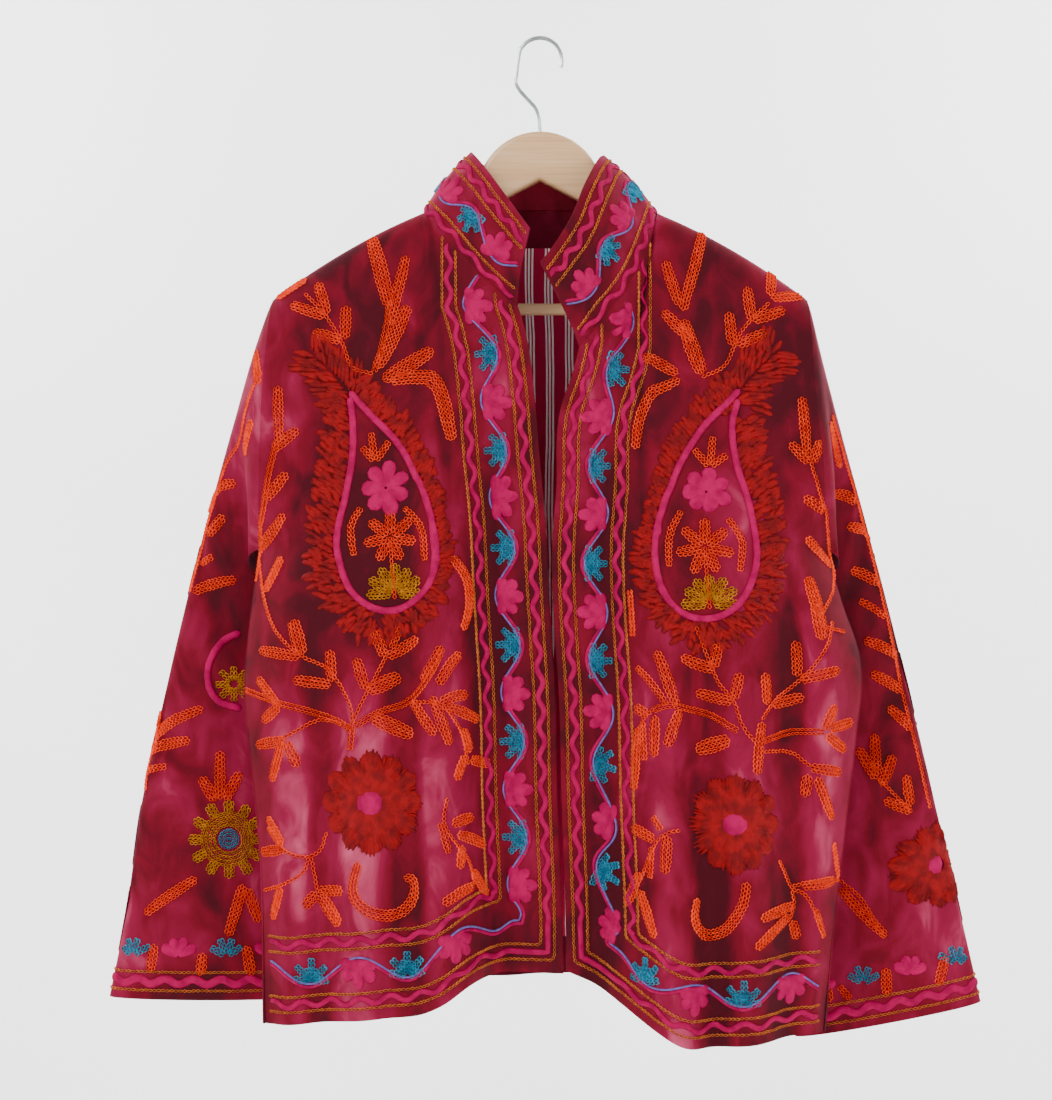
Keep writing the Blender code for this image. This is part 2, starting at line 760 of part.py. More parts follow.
def back_sheet():
    """Back panel with its columns on the collar's and the shoulders'."""
    low = back_share(-1)
    high = back_share(1)
    left = np.linspace(0, low, SHOULDER_COLUMNS + 1)[:-1]
    neck = [low + share * (high - low) for share in BACK_NECK_STEPS]
    right = np.linspace(high, 1, SHOULDER_COLUMNS + 1)[1:]
    across = np.concatenate([left, neck, right])
    down = panel_rows((across > low + 1e-6) & (across < high - 1e-6))
    return Sheet("back", back_point(across[None, :], down), flip=True)


def sleeve_sheet(name, side):
    """Sleeve whose ring of points falls on the armhole's rows."""
    half = len(ARMHOLE_ROWS) - 1
    around = np.arange(2 * half) / (2 * half)
    down = np.linspace(0, 1, SLEEVE_ROWS + 1)
    return Sheet(name, sleeve_point(around[None, :], down[:, None], side), ring=True, flip=side > 0)


def collar_sheet():
    """Stand collar, open at the front, over the whole neckline."""
    up = np.linspace(0, 1, COLLAR_ROWS + 1)[:, None]
    left = collar_point("left", np.array(FRONT_NECK_STEPS)[None, :], up)
    back = collar_point("back", np.array(BACK_NECK_STEPS)[None, 1:-1], up)
    right = collar_point("right", np.array(FRONT_NECK_STEPS)[None, ::-1], up)
    return Sheet("collar", np.concatenate([left, back, right], axis=1))


def inside_back(back, shared):
    """Velvet facing below the back neck, and the striped cotton lining under it."""
    neck = slice(SHOULDER_COLUMNS, SHOULDER_COLUMNS + len(BACK_NECK_STEPS))
    facing_rows = slice(FACING_TOP_ROW, FACING_BOTTOM_ROW + 1)
    lining_rows = slice(FACING_BOTTOM_ROW, -LINING_ROWS_ABOVE_HEM)
    inner_columns = slice(LINING_SIDE_COLUMNS, -LINING_SIDE_COLUMNS)
    facing = back.patch("neck_facing", facing_rows, neck, VELVET, shared)
    lining = back.patch("back_lining", lining_rows, inner_columns, COTTON, shared)
    return facing, lining


def arm_top(x):
    """Top line of the hanger's arm, just under the cloth and lower still inside the collar."""
    inside_collar = float(step((118.0 - x) / 30.0))
    return float(shoulder_z(x)) - ARM_BELOW_SHOULDER - ARM_BELOW_COLLAR * inside_collar


def board_outline():
    """Half outline of the hanger board, from the top of its head to the notch, for x > 0."""
    centre_z = HEAD_TOP_Z - HEAD_RADIUS
    points = []
    for turn in np.linspace(0, 93, 13):
        angle = math.radians(turn)
        points.append((HEAD_RADIUS * math.sin(angle), centre_z + HEAD_RADIUS * math.cos(angle)))
    for x in (58.0, 66.0, 80.0, 95.0, 110.0, 125.0, 145.0, 165.0, 185.0, 205.0):
        points.append((x, arm_top(x)))
    tip = 7.0
    tip_centre = (ARM_REACH - tip, arm_top(ARM_REACH - tip) - tip - 1.5)
    for turn in (50, 75, 100):
        angle = math.radians(90 - turn)
        points.append((tip_centre[0] + tip * math.cos(angle), tip_centre[1] + tip * math.sin(angle)))
    lobe = 10.0
    for turn in (0, 30, 60, 90):
        angle = math.radians(turn)
        x = ARM_REACH - 5.0 - lobe + lobe * math.cos(angle)
        points.append((x, LOBE_BOTTOM_Z + lobe - lobe * math.sin(angle)))
    for turn in (100, 130, 160):
        angle = math.radians(turn)
        x = BAR_SEAT_X + 2.0 + lobe * math.cos(angle)
        points.append((x, LOBE_BOTTOM_Z + lobe - lobe * math.sin(angle)))
    for x in (LOBE_START_X, 150.0, 90.0):
        points.append((x, NOTCH_Z - NOTCH_SLOPE * x))
    return points


def hanger_body():
    """Flat beech board cut to the hanger's outline, with the seats for its bar and hook."""
    half = board_outline()
    outline = half + [(0.0, NOTCH_Z)] + [(-x, z) for x, z in reversed(half[1:])]
    mesh = bmesh.new()
    front = [mesh.verts.new((x * MM, -BOARD_THICKNESS / 2 * MM, z * MM)) for x, z in outline]
    face = mesh.faces.new(front)
    grown = bmesh.ops.extrude_face_region(mesh, geom=[face])
    moved = [item for item in grown["geom"] if isinstance(item, bmesh.types.BMVert)]
    bmesh.ops.translate(mesh, verts=moved, vec=(0, BOARD_THICKNESS * MM, 0))
    bmesh.ops.recalc_face_normals(mesh, faces=mesh.faces[:])
    body = new_object("hanger_body", mesh, PALE_WOOD, 0.45)
    edge = body.modifiers.new("rounded_edges", "BEVEL")
    edge.width = BOARD_EDGE * MM
    edge.segments = 3
    edge.use_clamp_overlap = False
    edge.limit_method = "ANGLE"
    edge.angle_limit = math.radians(60)
    for side in (-1, 1):
        reach = BAR_SEAT_DEPTH + 30.0
        centre = (side * (BAR_SEAT_X + BAR_SEAT_DEPTH - reach / 2), 0, BAR_Z)
        cut_round(body, "bar_seat", BAR_RADIUS + SEAM_GAP, reach, centre, "x")
    cut_round(body, "hook_seat", WIRE_RADIUS + SEAM_GAP, 2 * SHANK_DEPTH, (0, 0, HEAD_TOP_Z), "z")
    return body


def rod(name, radius, length, centre, axis, sides):
    """Round rod along X or Z."""
    turn = (0, math.pi / 2, 0) if axis == "x" else (0, 0, 0)
    bpy.ops.mesh.primitive_cylinder_add(
        vertices=sides,
        radius=radius * MM,
        depth=length * MM,
        location=[value * MM for value in centre],
        rotation=turn,
    )
    made = bpy.context.object
    made.name = name
    made.data.name = name
    return made


def cut_round(body, name, radius, length, centre, axis):
    """Cuts a round seat into a body with a Boolean."""
    cutter = rod(name, radius, length, centre, axis, 20)
    cutter.hide_render = True
    cutter.display_type = "WIRE"
    cut = body.modifiers.new(name, "BOOLEAN")
    cut.operation = "DIFFERENCE"
    cut.object = cutter
    return cutter


def hanger_bar():
    """Trouser bar, seated in both arms."""
    length = 2 * (BAR_SEAT_X + BAR_SEAT_DEPTH - SEAM_GAP)
    bar = rod("hanger_bar", BAR_RADIUS, length, (0, 0, BAR_Z), "x", 20)
    bar.data.materials.append(material("hanger_bar", PALE_WOOD, 0.4))
    bar.data.shade_smooth()
    bar.data.set_sharp_from_angle(angle=math.radians(40))
    return bar


def hook_route():
    """Centre line of the hook: shank, cranked neck, then a round hook over to the right."""
    centre_z = WIRE_RADIUS - HOOK_RADIUS
    knots = [
        (0.0, HEAD_TOP_Z - SHANK_DEPTH + SEAM_GAP),
        (0.0, HEAD_TOP_Z - 6.0),
        (-0.1, -73.0),
        (-0.8, -65.0),
        (-3.6, -58.0),
        (-9.0, -52.0),
        (-15.0, -45.5),
        (-19.2, -39.5),
        (-20.3, -32.0),
    ]
    for turn in range(-70, 116, 12):
        angle = math.radians(turn)
        knots.append((HOOK_RADIUS * math.sin(angle), centre_z + HOOK_RADIUS * math.cos(angle)))
    places = np.arange(len(knots))
    fine = np.linspace(0, len(knots) - 1, 46)
    x = smooth(fine, places, [knot[0] for knot in knots])
    z = smooth(fine, places, [knot[1] for knot in knots])
    return list(zip(x, z))


def hook():
    """Steel wire hook whose shank stands in the head."""
    route = hook_route()
    curve = bpy.data.curves.new("hook", "CURVE")
    curve.dimensions = "3D"
    curve.bevel_depth = WIRE_RADIUS * MM
    curve.bevel_resolution = 3
    curve.use_fill_caps = True
    line = curve.splines.new("POLY")
    line.points.add(len(route) - 1)
    for point, (x, z) in zip(line.points, route):
        point.co = (x * MM, 0.0, z * MM, 1.0)
    made = bpy.data.objects.new("hook", curve)
    bpy.context.collection.objects.link(made)
    curve.materials.append(material("hook", STEEL, 0.3, 1.0))
    return made


def main():
    """Builds the jacket and its hanger."""
    for old in list(bpy.data.objects):
        bpy.data.objects.remove(old, do_unlink=True)
    seamed = [
        front_sheet("front_left", -1),
        front_sheet("front_right", 1),
        back_sheet(),
        sleeve_sheet("sleeve_left", -1),
        sleeve_sheet("sleeve_right", 1),
        collar_sheet(),
    ]
    shared = {}
    for sheet in seamed:
        sheet.add_normals(shared)
    for sheet in seamed:
        sheet.build(shared)
    for sheet in inside_back(seamed[2], shared):
        sheet.build(shared, wall=LINING_WALL, inset=WALL + SEAM_GAP)
    hanger_body()
    hanger_bar()
    hook()


main()
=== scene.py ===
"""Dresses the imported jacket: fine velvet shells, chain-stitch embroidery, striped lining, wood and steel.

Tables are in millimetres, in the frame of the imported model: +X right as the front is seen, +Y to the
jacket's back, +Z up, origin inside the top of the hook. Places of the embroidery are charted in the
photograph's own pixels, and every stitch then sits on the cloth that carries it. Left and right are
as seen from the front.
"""

from __future__ import annotations

import json
import logging
import math
from dataclasses import dataclass, field
from enum import Enum
from typing import Callable, NamedTuple, Optional

import bpy
import numpy as np
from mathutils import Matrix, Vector

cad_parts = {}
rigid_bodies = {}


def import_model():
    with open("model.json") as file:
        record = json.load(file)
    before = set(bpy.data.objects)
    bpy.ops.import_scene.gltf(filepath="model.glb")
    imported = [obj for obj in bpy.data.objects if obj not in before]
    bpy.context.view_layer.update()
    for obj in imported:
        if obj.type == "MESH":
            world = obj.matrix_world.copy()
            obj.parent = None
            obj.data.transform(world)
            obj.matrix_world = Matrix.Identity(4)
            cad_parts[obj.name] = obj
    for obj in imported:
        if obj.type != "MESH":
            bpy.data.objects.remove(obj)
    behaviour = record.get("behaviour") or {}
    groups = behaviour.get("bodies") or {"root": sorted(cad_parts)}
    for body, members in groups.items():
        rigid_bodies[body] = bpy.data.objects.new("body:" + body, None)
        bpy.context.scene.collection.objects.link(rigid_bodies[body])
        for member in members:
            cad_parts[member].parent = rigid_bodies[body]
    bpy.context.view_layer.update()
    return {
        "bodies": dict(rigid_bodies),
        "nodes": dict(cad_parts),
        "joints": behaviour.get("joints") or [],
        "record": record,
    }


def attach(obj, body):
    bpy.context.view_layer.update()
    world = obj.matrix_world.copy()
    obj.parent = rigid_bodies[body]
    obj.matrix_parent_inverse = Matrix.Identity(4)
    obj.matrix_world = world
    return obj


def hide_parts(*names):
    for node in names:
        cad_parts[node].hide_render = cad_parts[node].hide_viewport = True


MM = 0.001
LOG = logging.getLogger("jacket")
Array = np.ndarray

# The photograph's view of the jacket
PHOTO_SCALE = 0.85
PHOTO_ORIGIN = (540.0, 40.0)
EYE = (-11.9, -2000.0, -433.5)
FRAME_HEIGHT = 935.0


class Fold(NamedTuple):
    """Long fold of a body panel: a line from top to bottom, half its width, and its height."""

    x_top: float
    z_top: float
    x_bottom: float
    z_bottom: float
    half_width: float
    height: float


class Crease(NamedTuple):
    """Short crease laid between two places (x, z) of a panel."""

    x0: float
    z0: float
    x1: float
    z1: float
    half_width: float
    height: float


class Twist(NamedTuple):
    """Crease across a sleeve: share of its length, place round it, half length, spread and depth."""

    along: float
    around: float
    length: float
    spread: float
    depth: float


WALL = 2.0
SLEEVE_WALL = 1.0
SHOULDER_HALF_WIDTH = 227.0
SHOULDER_TIP_Z = -221.0
NECK_POINT_Z = -147.0
NECK_HALF_WIDTH = 99.5
SIDE_HEIGHT = 614.0
UNDERARM_DROP = 214.0
HEM_AT_SIDE_Z = {-1: -832.0, 1: -838.0}
NECK_SHARE = 0.37
SHOULDER_DROOP = 22.0
DROP_OUT = 18.0
DROP_DOWN = 28.0
DROP_POWER = 0.36
ARMHOLE_ROWS = (0.0, 1.0, 4.5, 12.5, 28.0, 52.0, 80.0, 108.0, 136.0, 162.0, 186.0, 204.0, 214.0)

# Centre front edges and side edges, rows of z, x, y from the top down
CENTRE_EDGE = {
    -1: (
        (-229, -19.4, -48), (-251, -12.7, -47), (-309, -4.4, -45), (-355, -0.7, -44), (-404, 4.0, -43),
        (-475, 7.8, -41), (-558, 12.8, -38), (-642, 14.6, -34), (-726, 18.2, -30), (-788.5, 19.6, -28),
    ),
    1: (
        (-265, 32.7, -55), (-291, 26.0, -53), (-313, 18.0, -51), (-383, 13.0, -49), (-438, 9.6, -47),
        (-475, 10.5, -45), (-558, 15.6, -42), (-642, 17.6, -38), (-726, 20.8, -34), (-785.6, 22.0, -32),
    ),
}
SIDE_EDGE = {
    -1: (
        (-221, -227, 0), (-307, -234, 2), (-349, -236, 3), (-435, -240, 2), (-476, -244.5, -8),
        (-560, -250, -16), (-610, -244.5, -18), (-686, -237.5, -18), (-832, -234, -18),
    ),
    1: (
        (-221, 227, 0), (-307, 232, 2), (-349, 237, 3), (-435, 246, 2), (-476, 256, -8),
        (-526, 271, -18), (-593, 266.5, -20), (-644, 260.5, -20), (-728, 250.5, -20), (-838, 240.5, -20),
    ),
}
ARMHOLE_DOWN = (0.0, 0.15, 0.4, 0.7, 0.88, 0.96, 1.0)
ARMHOLE_OUT = (DROP_OUT, 25.0, 30.0, 28.0, 20.0, 11.0, 0.0)
INSIDE_DOWN = (0.0, 0.05, 0.14, 0.25, 0.35, 0.5, 0.75, 1.0)
INSIDE_OUT = (DROP_OUT, 25.0, 30.0, 30.0, 27.0, 20.0, 10.0, 0.0)
FRONT_DRAW_IN = 0.09
BACK_DRAW_IN = 0.05

# Hems, necklines and the collar's top edge, rows of share, x, y, z
FRONT_HEM = {
    -1: (
        (0.0, 19.6, -28, -788.5), (0.2, -33, -30, -788.5), (0.31, -58, -48, -794), (0.40, -82, -60, -809),
        (0.48, -101, -62, -818), (0.59, -129, -57, -820), (0.70, -157, -54, -823), (0.87, -200, -38, -829),
        (1.0, -234, -18, -832),
    ),
    1: (
        (0.0, 22.0, -32, -785.6), (0.1, 43, -32, -796), (0.21, 66, -45, -810), (0.33, 94, -60, -829),
        (0.44, 119, -65, -842), (0.55, 141, -62, -844), (0.69, 173, -60, -841), (0.87, 211, -42, -838.5),
        (1.0, 240.5, -20, -838),
    ),
}
FRONT_NECK = {
    -1: (
        (0.0, -19.4, -48, -229), (0.2, -39, -46, -213), (0.4, -60, -38, -191), (0.6, -77, -28, -170),
        (0.78, -91, -20, -156), (0.9, -97, -12, -149.5), (1.0, -99.5, 0, -147),
    ),
    1: (
        (0.0, 32.7, -55, -265), (0.2, 52, -51, -239), (0.4, 71, -43, -216), (0.6, 84, -33, -191),
        (0.78, 93, -22, -167), (0.9, 98, -12, -152), (1.0, 99.5, 0, -147),
    ),
}
BACK_NECK = (
    (0.0, -99.5, 0, -147), (0.05, -96.5, 12, -147), (0.12, -88, 20, -145), (0.3, -49, 33, -141.5),
    (0.5, 0, 38, -140), (0.7, 49, 33, -141.5), (0.88, 88, 20, -145), (0.95, 96.5, 12, -147),
    (1.0, 99.5, 0, -147),
)
BACK_HEM = (
    (0.0, -234, -18, -832), (0.08, -196, 2, -826), (0.2, -138, 30, -814), (0.36, -62, 40, -804),
    (0.5, 3, 44, -801), (0.64, 68, 40, -804), (0.8, 145, 30, -818), (0.92, 203, 2, -831),
    (1.0, 240.5, -20, -838),
)
COLLAR_TOP = {
    "left": (
        (0.0, -9, -60, -168), (0.35, -29, -50, -139), (0.65, -47, -36, -113), (0.9, -58, -13, -97.5),
        (1.0, -59.5, -1, -96),
    ),
    "back": (
        (0.0, -59.5, -1, -96), (0.05, -59, 10, -97), (0.12, -56, 19, -99), (0.3, -36, 34, -104),
        (0.5, -2, 39, -106), (0.7, 31, 34, -104.5), (0.88, 51, 19, -100), (0.95, 54, 10, -98.5),
        (1.0, 54.5, -1, -98),
    ),
    "right": (
        (0.0, 0.5, -76, -198), (0.25, 12, -70, -182), (0.5, 26, -60, -158), (0.75, 39, -42, -125),
        (0.9, 50, -16, -102.5), (1.0, 54.5, -1, -98),
    ),
}
COLLAR_BOW = 4.0
COLLAR_CENTRE = (2.0, -8.0, 0.0)
FULLNESS_DOWN = (0.0, 0.06, 0.2, 0.45, 0.7, 0.88, 1.0)
FRONT_FULLNESS = (0.0, 1.0, 4.0, 9.0, 11.0, 8.0, 0.0)
BACK_FULLNESS = (0.0, 1.0, 6.0, 14.0, 20.0, 14.0, 0.0)
FULLNESS_POWER = 0.7

# Lengths over which a fold grows and runs out, and the height below which it goes on to the hem
FOLD_GROWS = 110.0
FOLD_AT_TOP = 0.25
FOLD_ENDS = 70.0
FOLD_TO_HEM = -700.0

# A crease's wander to the side, as a share of the way along it and a wavelength, and its rise and end
CREASE_WANDER = 0.02
CREASE_WAVE = 17.0
CREASE_RISE_POWER = 0.8
CREASE_END_POWER = 1.4

# Shares of a panel over which its seams hold the folds flat
HELD_DOWN = 0.09
HELD_FRONT = 0.07
HELD_BACK = 0.06

FRONT_FOLDS = {
    -1: (
        Fold(-84, -330, -70, -830, 20, 10), Fold(-48, -330, -34, -830, 15, -9),
        Fold(-118, -430, -104, -860, 15, -7), Fold(-150, -520, -142, -860, 19, 6),
        Fold(-178, -560, -182, -860, 15, -6), Fold(-212, -480, -212, -860, 14, 5),
        Fold(-92, -200, -104, -330, 11, -4), Fold(-150, -235, -196, -420, 17, -4),
    ),
    1: (
        Fold(62, -330, 50, -830, 15, -9), Fold(92, -420, 112, -870, 19, 11),
        Fold(128, -520, 146, -870, 13, -7), Fold(164, -430, 176, -870, 18, 8),
        Fold(206, -430, 208, -870, 14, -6), Fold(240, -470, 232, -870, 13, 5),
        Fold(96, -200, 108, -340, 11, -4), Fold(152, -240, 196, -420, 17, -4),
    ),
}
BACK_FOLDS = (
    Fold(-160, -420, -176, -870, 17, 6), Fold(-118, -330, -128, -870, 16, -6),
    Fold(-66, -260, -78, -870, 20, 7), Fold(-20, -360, -26, -870, 15, -6),
    Fold(36, -240, 34, -870, 20, 6), Fold(86, -380, 92, -870, 16, -7),
    Fold(132, -300, 146, -870, 18, 7), Fold(178, -480, 190, -870, 14, -5),
)

# Small creases laid over the panels' own folds
FRONT_CREASES = {
    -1: (
        Crease(-118, -208, -100, -262, 5, 1.4), Crease(-136, -214, -128, -296, 6, -1.6),
        Crease(-176, -226, -158, -300, 6, 1.5), Crease(-204, -232, -182, -322, 5, -1.4),
        Crease(-228, -300, -196, -352, 7, 1.8), Crease(-226, -352, -178, -392, 6, -1.6),
        Crease(-230, -404, -172, -430, 8, 1.9), Crease(-64, -236, -72, -318, 5, 1.3),
        Crease(-96, -560, -92, -742, 5, 1.8), Crease(-62, -600, -58, -700, 4, -1.4),
        Crease(-128, -600, -122, -726, 5, 1.5), Crease(-166, -640, -168, -760, 6, -1.6),
        Crease(-196, -520, -204, -640, 5, 1.5), Crease(-222, -640, -196, -690, 6, 1.6),
        Crease(-18, -330, -22, -392, 4, 1.2), Crease(-10, -520, -12, -596, 4, -1.1),
    ),
    1: (
        Crease(112, -200, 96, -268, 5, 1.5), Crease(140, -212, 128, -290, 6, -1.6),
        Crease(178, -226, 160, -296, 6, 1.5), Crease(206, -234, 190, -318, 5, -1.4),
        Crease(226, -300, 196, -350, 7, 1.8), Crease(234, -366, 180, -398, 6, -1.6),
        Crease(240, -420, 182, -446, 8, 1.9), Crease(84, -262, 88, -352, 5, 1.2),
        Crease(106, -560, 112, -700, 5, 1.9), Crease(76, -610, 78, -716, 4, -1.4),
        Crease(136, -590, 144, -720, 5, 1.4), Crease(186, -600, 190, -744, 6, -1.6),
        Crease(222, -500, 226, -610, 5, 1.5), Crease(250, -560, 214, -640, 7, 1.8),
        Crease(44, -380, 42, -450, 4, 1.2), Crease(36, -600, 38, -690, 4, -1.1),
    ),
}
BACK_CREASES = (
    Crease(-196, -236, -170, -320, 7, 1.6), Crease(-150, -220, -128, -318, 6, -1.6),
    Crease(-104, -190, -92, -280, 6, 1.4), Crease(104, -196, 92, -290, 6, 1.5),
    Crease(154, -220, 130, -322, 6, -1.6), Crease(198, -238, 172, -330, 7, 1.7),
    Crease(-226, -330, -170, -392, 7, 1.8), Crease(228, -336, 168, -402, 7, 1.8),
    Crease(-60, -176, 58, -178, 9, 1.4), Crease(-72, -208, 66, -204, 10, -1.4),
    Crease(-140, -560, -150, -720, 6, 1.7), Crease(-96, -520, -98, -660, 5, -1.5),
    Crease(-44, -600, -48, -740, 5, 1.5), Crease(10, -500, 6, -680, 6, -1.6),
    Crease(58, -620, 62, -760, 5, 1.6), Crease(112, -560, 118, -700, 6, -1.5),
    Crease(166, -540, 172, -690, 5, 1.6), Crease(206, -600, 210, -740, 6, -1.4),
)

# The lining hangs in its own small creases, seen between the fronts
LINING_CREASES = (
    Crease(-22, -250, -18, -420, 4, -1.5), Crease(6, -260, 2, -470, 5, -1.8),
    Crease(20, -240, 22, -380, 4, 1.0), Crease(-6, -420, -2, -600, 4, -1.4),
    Crease(14, -480, 16, -700, 4, -1.5), Crease(-40, -280, -44, -520, 6, -1.6),
    Crease(52, -300, 50, -560, 6, -1.5),
)

# Cuffs, rows of outer x, outer z, inner x, inner z, centre y, half depth
CUFF = {-1: (-374, -821, -214, -822, 48, 21), 1: (383.5, -825.5, 222, -856, 48, 21)}
SLEEVE_DOWN = (0.0, 0.055, 0.17, 0.37, 0.54, 0.72, 0.89, 1.0)
SLEEVE_BOW = {
    -1: (0.0, 4.5, 9.5, 15.0, 15.5, 13.0, 3.0, 0.0),
    1: (0.0, 0.0, 2.0, 6.0, 6.5, 4.5, 2.0, 0.0),
}
SETBACK_POWER = (2.5, 6.5)
FALL_POWER_INNER = 1.3
SLEEVE_CLEARANCE = 11.0
SLEEVE_CLEARANCE_AT = 0.06
CUFF_ROUNDNESS = 0.8
TWIST_SLANT = 0.35
SLEEVE_TWISTS = {
    -1: (
        Twist(0.34, 0.14, 0.030, 0.16, -5), Twist(0.44, 0.22, 0.030, 0.13, 4),
        Twist(0.60, 0.15, 0.030, 0.14, -6), Twist(0.69, 0.22, 0.030, 0.15, 4),
        Twist(0.84, 0.16, 0.028, 0.17, -5), Twist(0.46, 0.72, 0.035, 0.15, -5),
        Twist(0.70, 0.80, 0.035, 0.15, -5), Twist(0.52, 0.18, 0.012, 0.11, 1.6),
        Twist(0.64, 0.20, 0.010, 0.12, 1.8), Twist(0.76, 0.12, 0.012, 0.10, -1.6),
        Twist(0.28, 0.20, 0.012, 0.10, 1.5), Twist(0.55, 0.78, 0.012, 0.12, 1.6),
        Twist(0.36, 0.70, 0.012, 0.11, -1.5), Twist(0.80, 0.74, 0.012, 0.10, 1.6),
    ),
    1: (
        Twist(0.30, 0.16, 0.030, 0.15, -4), Twist(0.50, 0.13, 0.035, 0.14, -5),
        Twist(0.62, 0.22, 0.035, 0.15, 4), Twist(0.78, 0.15, 0.035, 0.16, -5),
        Twist(0.40, 0.75, 0.035, 0.15, -5), Twist(0.66, 0.70, 0.035, 0.15, -5),
        Twist(0.42, 0.20, 0.012, 0.11, 1.5), Twist(0.57, 0.14, 0.010, 0.12, -1.6),
        Twist(0.70, 0.18, 0.012, 0.11, 1.7), Twist(0.24, 0.15, 0.012, 0.10, 1.4),
        Twist(0.50, 0.76, 0.012, 0.12, 1.6), Twist(0.30, 0.72, 0.012, 0.11, -1.5),
        Twist(0.76, 0.78, 0.012, 0.10, 1.6),
    ),
}


def smooth(at: Array, places: tuple, values: tuple) -> Array:
    """Reads a smooth curve through a short table, flat beyond its ends."""
    places = np.asarray(places, float)
    values = np.asarray(values, float)
    at = np.clip(np.asarray(at, float), places[0], places[-1])
    slopes = np.gradient(values, places)
    cell = np.clip(np.searchsorted(places, at, side="right") - 1, 0, len(places) - 2)
    span = places[cell + 1] - places[cell]
    t = (at - places[cell]) / span
    ends = values[cell] * (2 * t**3 - 3 * t**2 + 1) + values[cell + 1] * (3 * t**2 - 2 * t**3)
    return ends + span * (slopes[cell] * (t**3 - 2 * t**2 + t) + slopes[cell + 1] * (t**3 - t**2))


def along(table: tuple, at: Array) -> Array:
    """Point of a share, x, y, z table at a share of its length."""
    columns = list(zip(*table))
    return np.stack([smooth(at, columns[0], columns[axis]) for axis in (1, 2, 3)], axis=-1)


def edge_value(table: tuple, z: Array, column: int) -> Array:
    """One column of a z, x, y table at height z."""
    columns = list(zip(*reversed(table)))
    return smooth(z, columns[0], columns[column])


def step(value: Array) -> Array:
    """Smooth step from 0 to 1."""
    value = np.clip(value, 0.0, 1.0)
    return value * value * (3 - 2 * value)


def shoulder_point(share: Array, side: int) -> Array:
    """Point on the shoulder seam, from the neck point to the tip."""
    x = side * (NECK_HALF_WIDTH + (SHOULDER_HALF_WIDTH - NECK_HALF_WIDTH) * share)
    fall = NECK_POINT_Z - SHOULDER_TIP_Z
    z = NECK_POINT_Z - (fall - SHOULDER_DROOP) * share - SHOULDER_DROOP * share * np.abs(share)
    return np.stack([x, np.zeros_like(x), z], axis=-1)


def drop(distance: Array) -> Array:
    """Rounded share of the drop over the hanger's edge, 0 at the seam and 1 once the cloth hangs."""
    return (1 - (1 - np.clip(distance / DROP_DOWN, 0, 1)) ** 2) ** DROP_POWER


def side_line(down: Array, side: int) -> Array:
    """Side edge of the body without any depth of its own to the front or back."""
    z = SHOULDER_TIP_Z + (HEM_AT_SIDE_Z[side] - SHOULDER_TIP_Z) * down
    return np.stack([edge_value(SIDE_EDGE[side], z, 1), edge_value(SIDE_EDGE[side], z, 2), z], axis=-1)


def side_out(down: Array) -> Array:
    """Depth of the side edge itself: the armhole's, then none along the side seam."""
    return smooth(np.clip(down * SIDE_HEIGHT / UNDERARM_DROP, 0, 1), ARMHOLE_DOWN, ARMHOLE_OUT)


def side_field(down: Array, side: int, face: int) -> Array:
    """Side of a body panel to the front (face -1) or the back (1), as it lies just inside its edge."""
    points = side_line(down, side)
    points[..., 1] += face * smooth(down, INSIDE_DOWN, INSIDE_OUT)
    return points


def side_curve(down: Array, side: int, face: int) -> Array:
    """Side edge of a body panel: armhole from the shoulder seam to the underarm, then side seam."""
    points = side_line(down, side)
    points[..., 1] += face * side_out(down)
    points[..., 1] *= drop(SHOULDER_TIP_Z - points[..., 2])
    return points


def hung(top: Array, points: Array) -> Array:
    """Cloth that starts at its top edge and drops over the hanger onto the field that it hangs in."""
    share = drop(top[..., 2] - points[..., 2])
    points[..., 1] = top[..., 1] + (points[..., 1] - top[..., 1]) * share
    return points


def pushed_out(top: Array, face: int) -> Array:
    """Top edge itself, moved out to where the cloth hangs."""
    moved = top.copy()
    moved[..., 1] = face * np.maximum(face * top[..., 1], DROP_OUT)
    return moved


def centre_curve(down: Array, side: int) -> Array:
    """Centre front edge from the neckline to the hem."""
    table = CENTRE_EDGE[side]
    z = table[0][0] + (table[-1][0] - table[0][0]) * down
    return np.stack([edge_value(table, z, 1), edge_value(table, z, 2), z], axis=-1)


def coons(
    across: Array, down: Array, top: Callable, bottom: Callable, start: Callable, end: Callable
) -> Array:
    """Surface spanned by its four edges."""
    a = across[..., None]
    d = down[..., None]
    zero = np.zeros_like(across)
    one = np.ones_like(across)
    ruled = (1 - d) * top(across) + d * bottom(across) + (1 - a) * start(down) + a * end(down)
    upper = (1 - a) * top(zero) + a * top(one)
    lower = (1 - a) * bottom(zero) + a * bottom(one)
    return ruled - ((1 - d) * upper + d * lower)


def folded(points: Array, folds: tuple, face: int, weight: Array) -> Array:
    """Moves points along y by the folds that run through them."""
    x = points[..., 0]
    z = points[..., 2]
    for fold in folds:
        share = np.clip((z - fold.z_top) / (fold.z_bottom - fold.z_top), 0, 1)
        line = fold.x_top + (fold.x_bottom - fold.x_top) * share
        start = step((fold.z_top - z) / FOLD_GROWS + FOLD_AT_TOP)
        end = 1.0
        if fold.z_bottom > FOLD_TO_HEM:
            end = 1 - step((fold.z_bottom - z + FOLD_ENDS) / FOLD_ENDS)
        ridge = np.exp(-(((x - line) / fold.half_width) ** 2))
        points[..., 1] += face * fold.height * ridge * start * end * weight
    return points


